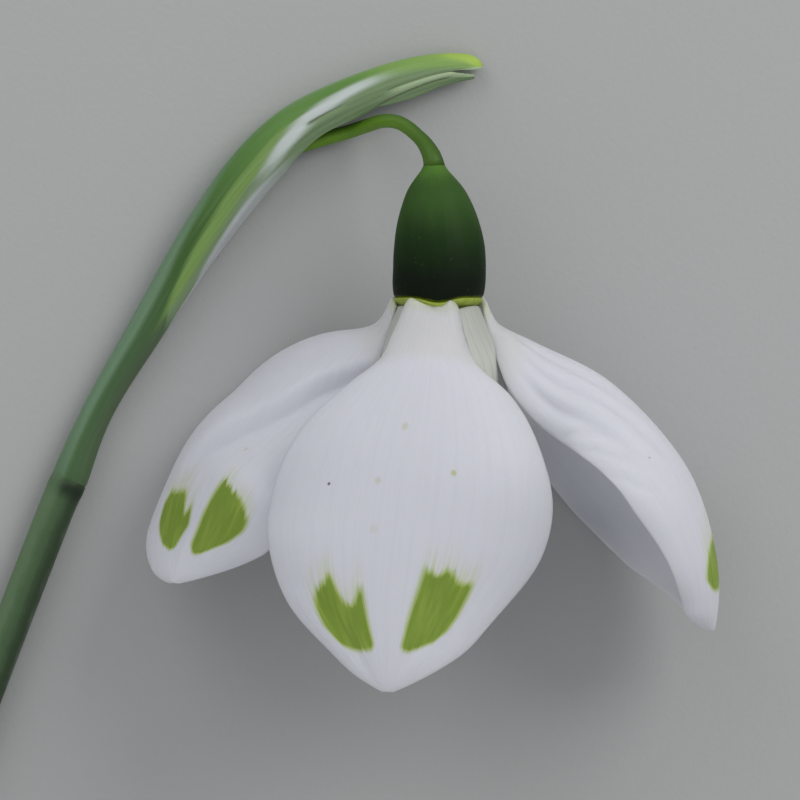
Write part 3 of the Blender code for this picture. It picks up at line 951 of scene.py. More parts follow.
def leaf(name: str, surface: np.ndarray, skin: np.ndarray, thickness: np.ndarray,
         material: bpy.types.Material, gone: Callable[[int, int], bool] | None = None) -> bpy.types.Object:
    """Make a thin leafy piece with a rounded margin.

    Args:
        name: the object's name.
        surface: rows by columns of points on its middle, in metres.
        skin: rows by columns of the two skin coordinates.
        thickness: rows by columns, in millimetres.
        material: its material.
        gone: says which faces to leave out, by their lowest row and column.

    Returns:
        The object.
    """
    bm, places = bent_grid(surface, skin, gone)
    piece = to_object(name, bm, material)
    thick = piece.vertex_groups.new(name="thick")
    full = float(thickness.max())
    for index, (r, c) in enumerate(places):
        thick.add([index], float(thickness[r, c]) / full, "REPLACE")
    wall = piece.modifiers.new("wall", "SOLIDIFY")
    wall.thickness = full * MM
    wall.offset = 0.0
    wall.vertex_group = thick.name
    round_off(piece)
    return piece


def stem(name: str, setting: Setting, centres: np.ndarray, radii: np.ndarray, sides: int,
         material: bpy.types.Material, relief: Callable[[np.ndarray, np.ndarray], np.ndarray] | None = None,
         ) -> bpy.types.Object:
    """Make a round stem by wrapping a grid round a path, joining its seam and filling its ends.

    Args:
        name: the object's name.
        setting: where the flower sits.
        centres: points on the stem's axis, in millimetres.
        radii: its radius at each of them.
        sides: faces round it.
        material: its material.
        relief: how far the skin stands out, in millimetres, for turns and stations.

    Returns:
        The object.
    """
    turns = np.linspace(0, 1, sides + 1)
    v = along(centres)
    _, upward, sideways = frames(centres)
    out = np.broadcast_to(radii[:, None], (len(v), sides + 1)).copy()
    if relief is not None:
        out += relief(turns[None, :], v[:, None])
    angle = 2 * np.pi * turns[None, :, None]
    ring = np.cos(angle) * upward[:, None, :] - np.sin(angle) * sideways[:, None, :]
    surface = centres[:, None, :] + out[..., None] * ring
    skin = np.stack(np.broadcast_arrays(turns[None, :], v[:, None]), axis=-1)
    bm, _ = bent_grid(setting.place(surface), skin)
    bmesh.ops.remove_doubles(bm, verts=bm.verts, dist=MERGE)
    bmesh.ops.holes_fill(bm, edges=[e for e in bm.edges if e.is_boundary], sides=0)
    ends = [f for f in bm.faces if len(f.verts) > 4]
    bmesh.ops.inset_individual(bm, faces=ends, thickness=float(radii.min()) * END_INSET * MM)
    bmesh.ops.recalc_face_normals(bm, faces=bm.faces)
    return to_object(name, bm, material)


def turned(name: str, setting: Setting, profile: np.ndarray, sides: int, material: bpy.types.Material,
           adjust: Callable[[Vector], Vector] | None = None, place: Matrix | None = None) -> bpy.types.Object:
    """Spin a body round the flower's axis.

    Args:
        name: the object's name.
        setting: where the flower sits.
        profile: its heights and radii in millimetres, from one end to the other.
        sides: faces round it.
        material: its material.
        adjust: moves each point, in millimetres.
        place: then puts the body in its place, in millimetres.

    Returns:
        The object.
    """
    bm = bmesh.new()
    chain = [bm.verts.new((0.0, h, r)) for h, r in profile]
    edges = [bm.edges.new(pair) for pair in zip(chain, chain[1:])]
    bmesh.ops.spin(bm, geom=chain + edges, cent=(0, 0, 0), axis=(0, 1, 0), angle=2 * math.pi,
                   steps=sides, use_merge=True)
    bmesh.ops.remove_doubles(bm, verts=bm.verts, dist=MERGE_MM)
    bmesh.ops.recalc_face_normals(bm, faces=bm.faces)
    layer = bm.loops.layers.uv.new(SKIN)
    stations, heights = along(profile), profile[:, 0]
    rising = heights[-1] > heights[0]
    for face in bm.faces:
        middle = face.calc_center_median()
        for corner in face.loops:
            co = corner.vert.co
            turn = math.atan2(co.x, co.z) if math.hypot(co.x, co.z) > 1e-6 else math.atan2(middle.x, middle.z)
            turn += 2 * math.pi * round((math.atan2(middle.x, middle.z) - turn) / (2 * math.pi))
            v = float(np.interp(co.y if rising else -co.y, heights if rising else -heights, stations))
            corner[layer].uv = (turn / (2 * math.pi) + 0.5, v)
    for vertex in bm.verts:
        if adjust is not None:
            vertex.co = adjust(vertex.co)
    if place is not None:
        bmesh.ops.transform(bm, matrix=place, verts=bm.verts)
    bmesh.ops.scale(bm, vec=Vector((MM, MM, MM)), verts=bm.verts)
    bmesh.ops.translate(bm, vec=setting.origin, verts=bm.verts)
    return to_object(name, bm, material)


# ---------------------------------------------------------------- stem, sheath and flower stalk


@dataclass
class Scape:
    """The leafless stem, cut across at its lower end and jointed to the sheath at its node."""

    setting: Setting
    finish: StemFinish = StemFinish()
    radius: float = 1.2
    route: Profile = ((-33.5, -35.0), (-27.9, -20.2), (-26.0, -15.3), (-25.2, -13.3), (-24.3, -11.4))
    collar_at: float = 0.945
    collar_length: float = 0.022
    collar_swell: float = 0.04
    hidden_end: float = 0.45  # how much narrower it is inside the sheath
    hidden_from: tuple[float, float] = (0.966, 0.985)
    cut_edge: float = 0.07  # how much narrower its cut end is
    rings: int = 90
    sides: int = 48
    lines: int = 11
    line_height: float = 0.012

    def build(self) -> bpy.types.Object:
        """Build and dress the stem.

        Returns:
            The piece, seated.
        """
        flat = [(x, y, self.setting.floor + self.radius) for x, y in self.route]
        v = np.linspace(0, 1, self.rings)
        centres = through(along(flat), flat, v)
        swell = self.collar_swell * bell(v, self.collar_at, self.collar_length)
        centres[:, 2] += swell
        radii = self.radius + swell - self.hidden_end * ease(v, *self.hidden_from)
        radii[0] -= self.cut_edge
        material = self.finish.material("scape_skin", self.collar_at)
        return seat(stem("scape_stem", self.setting, centres, radii, self.sides, material, self.relief),
                    "scape")

    def relief(self, turns: np.ndarray, v: np.ndarray) -> np.ndarray:
        """Raise faint lines along the stem."""
        return self.line_height * np.cos(2 * np.pi * self.lines * turns) * ease(v, 0.0, 0.03)


@dataclass
class Pedicel:
    """The slender stalk that arches out of the sheath and widens into the ovary's neck."""

    setting: Setting
    finish: PedicelFinish = PedicelFinish()
    route: tuple[tuple[float, float, float], ...] = (
        (-24.3, -11.4, -8.25), (-22.9, -8.1, -8.2), (-19.3, -1.8, -8.1), (-15.1, 4.6, -8.0),
        (-12.2, 8.0, -8.1), (-9.6, 10.0, -8.35), (-7.7, 10.65, -8.58), (-5.95, 11.15, -8.5),
        (-4.75, 11.55, -7.55), (-3.6, 11.85, -5.6), (-2.45, 11.65, -3.45), (-1.5, 10.95, -1.8),
        (-0.75, 10.1, -0.6), (-0.36, 9.3, -0.1), (-0.25, 8.75, 0.0),
    )
    radius: float = 0.48
    neck_radius: float = 0.74
    neck_from: float = 0.93
    neck_flare: float = 1.6
    ribs: int = 6
    rib_height: float = 0.012
    rings: int = 110
    sides: int = 32

    def build(self) -> bpy.types.Object:
        """Build and dress the stalk.

        Returns:
            The piece, seated.
        """
        v = np.linspace(0, 1, self.rings)
        centres = through(along(self.route), self.route, v)
        near = np.clip((v - self.neck_from) / (1 - self.neck_from), 0, 1)
        radii = self.radius + (self.neck_radius - self.radius) * near**self.neck_flare
        material = self.finish.material("pedicel_skin")
        return seat(stem("pedicel_stalk", self.setting, centres, radii, self.sides, material, self.relief),
                    "pedicel")

    def relief(self, turns: np.ndarray, v: np.ndarray) -> np.ndarray:
        """Raise a few soft ribs along the stalk, the same at every place v."""
        return self.rib_height * np.cos(2 * np.pi * self.ribs * turns)


class Lobe(Enum):
    """The two lobes that the sheath splits into."""

    UPPER = "upper"
    LOWER = "lower"


@dataclass
class Spathe:
    """The sheath: a tube at its foot, then a two-keeled hood with a membrane between the keels."""

    setting: Setting
    finish: SpatheFinish = SpatheFinish()
    wall: float = 0.3
    tip_wall: float = 0.16
    route: Profile = (
        (-24.68, -12.25), (-23.1, -8.3), (-19.4, -1.9), (-15.2, 4.8), (-12.6, 8.2), (-9.5, 11.15),
        (-6.2, 13.0), (-2.5, 14.5), (1.0, 15.35), (2.95, 15.45),
    )
    stations: tuple[float, ...] = (0.0, 0.1, 0.3, 0.5, 0.61, 0.72, 0.81, 0.9, 0.96, 1.0)
    across: tuple[float, ...] = (1.27, 1.06, 1.25, 1.63, 1.8, 1.72, 1.52, 1.32, 1.08, 0.85)
    deep: tuple[float, ...] = (1.27, 1.1, 1.25, 1.5, 1.6, 1.5, 1.35, 1.1, 0.9, 0.7)
    lower_edge: tuple[float, ...] = (177, 177, 177, 176, 156, 134, 145, 158, 166, 168)
    far_edge: tuple[float, ...] = (177, 177, 177, 166, 126, 90, 78, 74, 72, 70)
    slit: tuple[float, ...] = (80, 80, 80, 82, 84, 92, 101, 101, 98, 97)
    slit_from: float = 0.84
    slit_least: float = 0.6  # degrees either side
    slit_open: float = 34.0  # degrees on the lower side, at the tip
    slit_opens_from: float = 0.95
    hook: float = 10.0  # degrees by which the upper tip reaches down
    lower_tip: tuple[float, float, float] = (150.0, 0.06, 0.012)
    foot_thinning: float = 0.4
    hood_from: float = 0.975
    folds: tuple[tuple[Profile, float, float], ...] = (
        (((0.3, 40.0), (0.6, 30.0), (0.95, 30.0)), 14.0, 0.14),
        (((0.62, 160.0), (0.8, 158.0), (0.96, 150.0)), 8.0, 0.14),
        (((0.79, 148.0), (0.83, 137.0), (0.88, 126.0), (0.97, 122.0)), 6.0, -0.24),
        (((0.82, 112.0), (0.9, 110.0), (0.99, 108.0)), 7.0, 0.12),
        (((0.69, 92.0), (0.735, 91.0), (0.775, 90.0)), 4.5, -0.22),
        (((0.55, 112.0), (0.65, 104.0), (0.8, 96.0)), 9.0, 0.1),
        (((0.3, 150.0), (0.45, 140.0), (0.62, 128.0)), 8.0, 0.08),
    )  # lines along it, their half widths in degrees and heights in millimetres
    ribs: int = 24
    rib_height: float = 0.012
    rows: int = 141
    upper_columns: int = 60
    lower_columns: int = 22

    def degrees(self, values: tuple[float, ...], v: np.ndarray) -> np.ndarray:
        """Read one of the sheath's edges at places along it."""
        return through(self.stations, values, v)

    def turns(self, lobe: Lobe, share: float, v: np.ndarray) -> np.ndarray:
        """Say how far round the sheath a line along it lies.

        Args:
            lobe: the side of the slit that the line is on.
            share: its place across that side, from 0 to 1.
            v: places along the sheath.

        Returns:
            The turn from the upper keel at each place, in degrees.
        """
        slit = self.degrees(self.slit, v)
        opening = np.clip((v - self.slit_opens_from) / (1 - self.slit_opens_from), 0, 1)
        if lobe is Lobe.UPPER:
            start, end = -self.degrees(self.far_edge, v), slit - self.slit_least + self.hook * opening**2
        else:
            start = slit + self.slit_least + self.slit_open * opening**1.5
            end = self.degrees(self.lower_edge, v)
        return start + (end - start) * share

    def line(self, lobe: Lobe, share: float, v: np.ndarray) -> tuple[np.ndarray, np.ndarray]:
        """Work out one line along the sheath.

        Args:
            lobe: the side of the slit that the line is on.
            share: its place across that side, from 0 to 1.
            v: places along the sheath.

        Returns:
            Its points in millimetres, and its turns in degrees.
        """
        turn = self.turns(lobe, share, v)
        short = 0.0
        close = np.ones_like(v)
        if lobe is Lobe.LOWER:
            point, rounding, back = self.lower_tip
            short = back + rounding * ((turn[-1] - point) / 90) ** 2
        else:
            nose = np.clip((v - self.hood_from) / (1 - self.hood_from), 0, 1)
            close = np.sqrt(np.clip(1 - nose**2, 0.04, 1))
        path = np.array([(x, y, 0.0) for x, y in self.route])
        centre = through(along(path), path, v * (1 - short * v**5))
        tangent = unit(np.gradient(centre, axis=0))
        aside = np.stack([-tangent[:, 1], tangent[:, 0], np.zeros_like(v)], axis=1)
        across = (self.degrees(self.across, v) - self.wall / 2) * close
        deep = self.degrees(self.deep, v) - self.wall / 2
        out = self.rib_height * np.cos(np.radians(turn) * self.ribs)
        for fold, width, height in self.folds:
            at, middle = (np.array(column) for column in zip(*fold))
            place = (v - at[0]) / (at[-1] - at[0])
            near = bell(turn, through(at, middle, np.clip(v, at[0], at[-1])), width)
            out = out + height * near * ease(place, 0.0, 0.25) * ease(place, 1.0, 0.75)
        angle = np.radians(turn)
        points = centre + ((across + out) * np.cos(angle))[:, None] * aside
        low = self.setting.floor + self.wall / 2 + self.rib_height
        points[:, 2] = low + deep + (deep * close + out) * np.sin(angle)
        return points, turn

    def build(self) -> bpy.types.Object:
        """Build and dress the sheath.

        Returns:
            The piece, seated.
        """
        v = crowded(self.rows, 1.4)
        lines = []
        for lobe, columns in ((Lobe.UPPER, self.upper_columns), (Lobe.LOWER, self.lower_columns)):
            lines += [self.line(lobe, c / (columns - 1), v) for c in range(columns)]
        surface = np.stack([points for points, _ in lines], axis=1)
        turns = np.stack([turn for _, turn in lines], axis=1)
        skin = np.stack([turns / 360 + 0.5, np.broadcast_to(v[:, None], turns.shape)], axis=-1)
        thickness = self.wall + (self.tip_wall - self.wall) * ease(v, 0.85, 1.0)
        thickness = thickness * (1 - self.foot_thinning * ease(v, 0.02, 0.0))
        slit_row = int(np.searchsorted(v, self.slit_from))
        piece = leaf("spathe_sheath", self.setting.place(surface), skin,
                     np.broadcast_to(thickness[:, None], turns.shape),
                     self.finish.material("spathe_skin"),
                     gone=lambda r, c: r >= slit_row and c == self.upper_columns - 1)
        return seat(piece, "spathe")


# ---------------------------------------------------------------- ovary and its disc


@dataclass(frozen=True)
class Lobes:
    """The three low scallops in the lower edge of the ovary and in the collar under it."""

    count: int = 3
    drop: float = 0.4
    height: float = 1.1
    radius: float = 2.95
    narrowing: int = 3

    def dropped(self, co: Vector) -> Vector:
        """Move a point of the edge down by as much as its scallop hangs there.

        Args:
            co: the point, in millimetres.

        Returns:
            Where it goes.
        """
        out = min(1.0, math.hypot(co.x, co.z) / self.radius) ** 4
        low = min(1.0, max(0.0, 1 - co.y / self.height))
        lobes = ((1 + math.cos(self.count * math.atan2(co.x, co.z))) / 2) ** self.narrowing
        return Vector((co.x, co.y - self.drop * lobes * low * out, co.z))


@dataclass
class Ovary:
    """The seed case above the tepals, with three low lobes over their claws."""

    setting: Setting
    finish: OvaryFinish = OvaryFinish()
    outline: tuple[tuple[float, float, float], ...] = (
        (0.0, 2.95, 0.03), (0.45, 3.05, 0.05), (2.0, 3.1, 0.1), (3.5, 3.02, 0.1), (4.9, 2.77, 0.03),
        (6.1, 2.4, -0.03), (7.3, 1.85, -0.12), (8.1, 1.25, -0.19), (8.6, 0.85, -0.23), (8.9, 0.7, -0.25),
    )  # heights, radii and how far the axis has drifted sideways
    underside: Profile = ((-0.02, 0.0), (-0.018, 0.9), (-0.015, 1.8), (-0.01, 2.6))
    top: Profile = ((9.0, 0.35), (9.02, 0.0))
    edge_radius: float = 0.16
    foot: float = 0.03  # how far its lower edge stands above the tepals' base
    rings: int = 56
    sides: int = 96
    edge_at: float = 0.232

    def profile(self) -> np.ndarray:
        """Work out its heights and radii, from the middle of its underside to the top of its neck.

        Returns:
            Rows of a height and a radius, in millimetres.
        """
        heights, radii, _ = (np.array(column) for column in zip(*self.outline))
        stations = along(np.stack([heights, radii], axis=1))
        v = np.linspace(0, 1, self.rings)
        side = np.stack([through(stations, heights, v), through(stations, radii, v)], axis=1)
        side[:, 0] += self.foot * (1 - side[:, 0] / heights[-1])
        near = np.clip(1 - (side[:, 0] - self.foot) / self.edge_radius, 0, 1)
        side[:, 1] -= self.edge_radius * (1 - np.sqrt(1 - near**2))
        return np.array([*self.underside, *side, *self.top])

    def lobed(self, co: Vector) -> Vector:
        """Drop the three lobes of its base and lean its axis a little."""
        heights, _, drift = zip(*self.outline)
        return Lobes().dropped(co) + Vector((float(np.interp(co.y, heights, drift)), 0.0, 0.0))

    def build(self) -> bpy.types.Object:
        """Build and dress the ovary.

        Returns:
            The piece, seated.
        """
        piece = turned("ovary_case", self.setting, self.profile(), self.sides,
                       self.finish.material("ovary_skin", self.edge_at), adjust=self.lobed)
        round_off(piece)
        return seat(piece, "ovary")


@dataclass
class Receptacle:
    """The short yellow-green collar under the ovary that carries the tepals and stamens."""

    setting: Setting
    finish: PlainFinish = PlainFinish((0.27, 0.37, 0.035), (0.36, 0.45, 0.06), (0.22, 0.32, 0.03), 0.5, 40.0)
    outline: Profile = (
        (-0.8, 0.0), (-0.8, 1.6), (-0.72, 2.0), (-0.6, 2.3), (-0.46, 2.6), (-0.32, 2.82), (-0.16, 2.93),
        (0.0, 2.95), (0.05, 2.85), (0.05, 0.0),
    )
    sides: int = 96

    def build(self) -> bpy.types.Object:
        """Build and dress the collar.

        Returns:
            The piece, seated.
        """
        piece = turned("receptacle_collar", self.setting, np.array(self.outline), self.sides,
                       self.finish.material("collar_skin"), adjust=Lobes().dropped)
        round_off(piece)
        return seat(piece, "receptacle")


# ---------------------------------------------------------------- tepals


@dataclass(frozen=True)
class Furrow:
    """A soft groove along a tepal, or with a negative depth a ridge."""

    line: Profile  # places along the tepal, and where the groove is across it, from -1 to 1
    before: float  # how far it spreads towards the left margin, as a share of the half width
    after: float  # and towards the right margin
    depth: float  # millimetres

    def depth_at(self, u: np.ndarray, v: np.ndarray) -> np.ndarray:
        """Give its depth at places across and along the tepal.

        Args:
            u: places across, from -1 to 1.
            v: places along, from 0 to 1.

        Returns:
            The depth in millimetres.
        """
        along_it, across = (np.array(column) for column in zip(*self.line))
        centre = through(along_it, across, np.clip(v.ravel(), along_it[0], along_it[-1])).reshape(v.shape)
        off = u - centre
        shape = np.exp(-((off / np.where(off < 0, self.before, self.after)) ** 2))
        share = (v - along_it[0]) / (along_it[-1] - along_it[0])
        return self.depth * shape * ease(share, 0.0, 0.3) * ease(share, 1.0, 0.65)


@dataclass(frozen=True)
class TepalShape:
    """A petal's midline, which way its outer face looks, its half widths and how it is cupped."""

    mid_stations: tuple[float, ...]
    mid: tuple[tuple[float, float, float], ...]
    face_stations: tuple[float, ...]
    face: tuple[float, ...]
    width_stations: tuple[float, ...]
    left: tuple[float, ...]
    right: tuple[float, ...]
    cup_stations: tuple[float, ...]
    cup: tuple[float, ...]

    def surface(self, u: np.ndarray, v: np.ndarray) -> tuple[np.ndarray, np.ndarray]:
        """Work out the petal's middle surface.

        Args:
            u: places across it, from -1 to 1.
            v: places along it, from 0 to 1.

        Returns:
            Its points, and the way that it faces outwards at each of them.
        """
        middle = through(self.mid_stations, self.mid, v)
        _, upward, sideways = frames(middle)
        turn = np.radians(through(self.face_stations, self.face, v))
        out = np.cos(turn)[:, None] * upward + np.sin(turn)[:, None] * sideways
        side = np.cos(turn)[:, None] * sideways - np.sin(turn)[:, None] * upward
        left = through(self.width_stations, self.left, v)[:, None]
        right = through(self.width_stations, self.right, v)[:, None]
        radius = (left + right) / 2 / through(self.cup_stations, self.cup, v)[:, None]
        swing = np.where(u[None, :] < 0, left, right) * u[None, :] / radius
        points = (
            middle[:, None, :]
            + (radius * np.sin(swing))[..., None] * side[:, None, :]
            - (radius * (1 - np.cos(swing)))[..., None] * out[:, None, :]
        )
        normal = unit(np.cross(np.gradient(points, axis=0), np.gradient(points, axis=1)))
        facing = np.sign((normal * out[:, None, :]).sum(-1).mean())
        return points, normal * facing

    def length(self) -> float:
        """Give the length of its midline."""
        points = through(self.mid_stations, self.mid, np.linspace(0, 1, 200))
        return float(np.linalg.norm(np.diff(points, axis=0), axis=1).sum())


# the stations that the outer tepals share: of the midline, the facing, the half widths and the cupping
MID = (0.0, 0.1, 0.22, 0.4, 0.6, 0.8, 1.0)
FACE = (0.0, 0.12, 0.25, 0.45, 0.7, 1.0)
WIDTH = (0.0, 0.08, 0.16, 0.24, 0.34, 0.5, 0.66, 0.8, 0.9, 0.96, 1.0)
CUP = (0.0, 0.12, 0.3, 0.6, 0.85, 1.0)

YELLOW_FLECK = (0.55, 0.56, 0.30)
DARK_FLECK = (0.06, 0.06, 0.07)


class TepalPlace(Enum):
    """The three outer tepals, by where they lie when the flower is seen from above."""

    FRONT = "outer_tepal_front"
    LEFT = "outer_tepal_left"
    RIGHT = "outer_tepal_right"


@dataclass
class OuterTepal:
    """One large outer petal: a narrow claw that spreads into a cupped blade."""

    setting: Setting
    place: TepalPlace
    shape: TepalShape
    marks: Marks
    specks: tuple[Speck, ...] = ()
    furrows: tuple[Furrow, ...] = ()
    finish: TepalFinish = TepalFinish()
    thickness: float = 0.4
    margin: float = 0.15
    foot_lift: Profile = (
        (-1.0, 0.35), (-0.78, 0.74), (-0.6, 0.6), (-0.14, 0.2), (0.2, 0.22), (0.44, 0.36), (0.68, 0.78),
        (1.0, 0.45),
    )
    foot_tuck: Profile = ((-1.0, 0.0), (-0.6, 0.02), (0.0, 0.34), (0.6, 0.02), (1.0, 0.0))  # to the axis
    foot_length: float = 0.09  # of the tepal
    ribs: int = 13
    rib_height: float = 0.008
    wave: float = 0.07
    waves: float = 3.3
    wave_shift: float = 0.4  # which sets the two margins out of step
    rows: int = 89
    columns: int = 65

    def relief(self, u: np.ndarray, v: np.ndarray) -> np.ndarray:
        """Work out how far the skin stands out: ribs, a wavy margin and the furrows.

        Args:
            u: places across, from -1 to 1.
            v: places along, from 0 to 1.

        Returns:
            The height in millimetres.
        """
        window = ease(v, 0.12, 0.3) * ease(v, 1.0, 0.9)
        height = self.rib_height * np.cos(2 * np.pi * self.ribs * u) * window * (1 - u**8)
        ripple = np.sin(2 * np.pi * (self.waves * v + self.wave_shift * np.sign(u)))
        height = height + self.wave * np.abs(u) ** 7 * ripple * window
        for furrow in self.furrows:
            height = height - furrow.depth_at(u, v)
        return height

    def build(self) -> bpy.types.Object:
        """Build and dress the tepal.

        Returns:
            The piece, seated.
        """
        u = np.linspace(-1, 1, self.columns)
        v = crowded(self.rows, 1.2)
        surface, normal = self.shape.surface(u, v)
        uu, vv = np.meshgrid(u, v)
        surface = surface + self.relief(uu, vv)[..., None] * normal
        foot = np.clip(1 - vv / self.foot_length, 0, 1) ** 2
        lift, tuck = (through(*zip(*line), u)[None, :] for line in (self.foot_lift, self.foot_tuck))
        surface[..., 1] += foot * lift
        surface[..., ::2] -= (foot * tuck)[..., None] * unit(surface[..., ::2])
        margin = np.maximum(np.abs(uu) ** 6, vv**12)
        thickness = self.thickness + (self.margin - self.thickness) * margin
        skin = np.stack([(uu + 1) / 2, vv], axis=-1)
        name = self.place.value.replace("outer_tepal", "petal")
        half_width = (max(self.shape.left) + max(self.shape.right)) / 2
        material = self.finish.material(f"{name}_skin", self.shape.length(), half_width, self.marks,
                                        self.specks)
        piece = leaf(name, self.setting.place(surface), skin, thickness, material)
        return seat(piece, self.place.value)


def front_tepal(setting: Setting) -> OuterTepal:
    """Describe the tepal that lies uppermost.

    Args:
        setting: where the flower sits.

    Returns:
        The tepal, ready to build.
    """
    shape = TepalShape(
        MID,
        ((-0.42, -0.72, 2.98), (-0.58, -2.6, 3.8), (-0.8, -4.85, 5.94), (-1.53, -9.86, 8.36),
         (-2.31, -15.66, 9.4), (-3.02, -21.1, 9.45), (-3.39, -26.2, 9.2)),
        FACE, (-1.0, -1.5, -6.0, -5.0, 3.5, 4.5),
        WIDTH,
        (1.85, 2.6, 3.35, 5.1, 7.9, 9.7, 9.55, 7.3, 4.2, 2.25, 0.3),
        (1.85, 2.6, 3.5, 6.0, 8.3, 10.25, 9.75, 7.25, 4.95, 2.45, 0.3),
        CUP, (0.62, 0.56, 0.5, 0.72, 0.62, 0.38),
    )
    marks = Marks(
        upper=((0.0, 0.96), (0.115, 0.96), (0.13, 0.83), (0.145, 0.785), (0.175, 0.755), (0.21, 0.742),
               (0.245, 0.712), (0.27, 0.752), (0.295, 0.782), (0.32, 0.785), (0.345, 0.755), (0.362, 0.722),
               (0.378, 0.755), (0.395, 0.88), (0.41, 0.97), (0.54, 0.97), (0.56, 0.88), (0.575, 0.75),
               (0.588, 0.66), (0.61, 0.675), (0.635, 0.688), (0.66, 0.676), (0.68, 0.655), (0.70, 0.68),
               (0.735, 0.70), (0.765, 0.695), (0.785, 0.69), (0.80, 0.80), (0.82, 0.96), (1.0, 0.96)),
        lower=((0.0, 0.72), (0.115, 0.78), (0.13, 0.85), (0.15, 0.885), (0.18, 0.893), (0.25, 0.898),
               (0.33, 0.897), (0.37, 0.893), (0.395, 0.88), (0.42, 0.80), (0.53, 0.80), (0.56, 0.885),
               (0.6, 0.894), (0.65, 0.888), (0.70, 0.876), (0.745, 0.864), (0.79, 0.83), (0.82, 0.70),
               (1.0, 0.7)),
    )
    specks = (
        Speck(0.45, 0.36, 0.35, YELLOW_FLECK, 0.5), Speck(0.64, 0.45, 0.26, YELLOW_FLECK, 0.9),
        Speck(0.39, 0.488, 0.3, YELLOW_FLECK, 0.45), Speck(0.22, 0.505, 0.15, DARK_FLECK, 0.9),
        Speck(0.40, 0.60, 0.4, YELLOW_FLECK, 0.25),
    )
    furrows = (
        Furrow(((0.66, -0.02), (1.0, 0.0)), 0.12, 0.12, 0.1),
        Furrow(((0.72, -0.75), (1.0, -0.5)), 0.14, 0.14, 0.12),
        Furrow(((0.6, 0.62), (0.98, 0.55)), 0.16, 0.16, 0.08),
    )
    return OuterTepal(setting, TepalPlace.FRONT, shape, marks, specks, furrows)


def left_tepal(setting: Setting) -> OuterTepal:
    """Describe the tepal that spreads to the left.

    Args:
        setting: where the flower sits.

    Returns:
        The tepal, ready to build.
    """
    shape = TepalShape(
        MID,
        ((-3.0, -0.75, -0.75), (-4.15, -1.95, -0.95), (-6.3, -3.15, -0.75), (-11.1, -7.2, -0.17),
         (-14.86, -10.77, 0.25), (-16.48, -15.74, 0.15), (-17.6, -19.0, 0.85)),
        FACE, (-94.0, -77.0, -58.0, -57.0, -57.0, -44.0),
        WIDTH,
        (1.6, 2.35, 3.4, 6.1, 8.95, 9.05, 8.8, 7.2, 4.4, 2.4, 0.35),
        (1.6, 2.4, 3.8, 4.7, 5.8, 8.2, 8.9, 6.85, 4.1, 1.95, 0.3),
        CUP, (0.6, 0.55, 0.54, 0.66, 0.44, 0.5),
    )
    marks = Marks(
        upper=((0.0, 0.96), (0.17, 0.96), (0.19, 0.74), (0.25, 0.705), (0.33, 0.70), (0.40, 0.692),
               (0.43, 0.75), (0.455, 0.735), (0.475, 0.71), (0.495, 0.78), (0.515, 0.96), (0.535, 0.93),
               (0.56, 0.74), (0.585, 0.68), (0.605, 0.625), (0.65, 0.645), (0.70, 0.655), (0.74, 0.668),
               (0.79, 0.70), (0.82, 0.72), (0.85, 0.95), (1.0, 0.96)),
        lower=((0.0, 0.72), (0.17, 0.76), (0.2, 0.80), (0.28, 0.85), (0.36, 0.868), (0.42, 0.86),
               (0.47, 0.80), (0.5, 0.77), (0.53, 0.79), (0.56, 0.85), (0.6, 0.872), (0.66, 0.866),
               (0.72, 0.835), (0.78, 0.80), (0.83, 0.75), (0.87, 0.70), (1.0, 0.7)),
    )
    specks = (Speck(0.56, 0.52, 0.3, YELLOW_FLECK, 0.5),)
    furrows = (
        Furrow(((0.13, 1.0), (0.2, 0.86), (0.24, 0.68), (0.31, 0.32), (0.38, 0.14), (0.455, -0.01),
                (0.565, -0.2), (0.65, -0.35), (0.74, -0.45)), 0.1, 0.6, 1.05),
        Furrow(((0.3, 0.75), (0.5, 0.6), (0.75, 0.4)), 0.12, 0.12, 0.1),
        Furrow(((0.66, 0.05), (0.8, 0.04), (0.97, 0.0)), 0.1, 0.1, -0.1),
    )
    lift, tuck = ((-1.0, 0.7), (0.0, 0.85), (1.0, 0.75)), ((-1.0, 0.1), (1.0, 0.1))
    return OuterTepal(setting, TepalPlace.LEFT, shape, marks, specks, furrows, foot_lift=lift, foot_tuck=tuck)


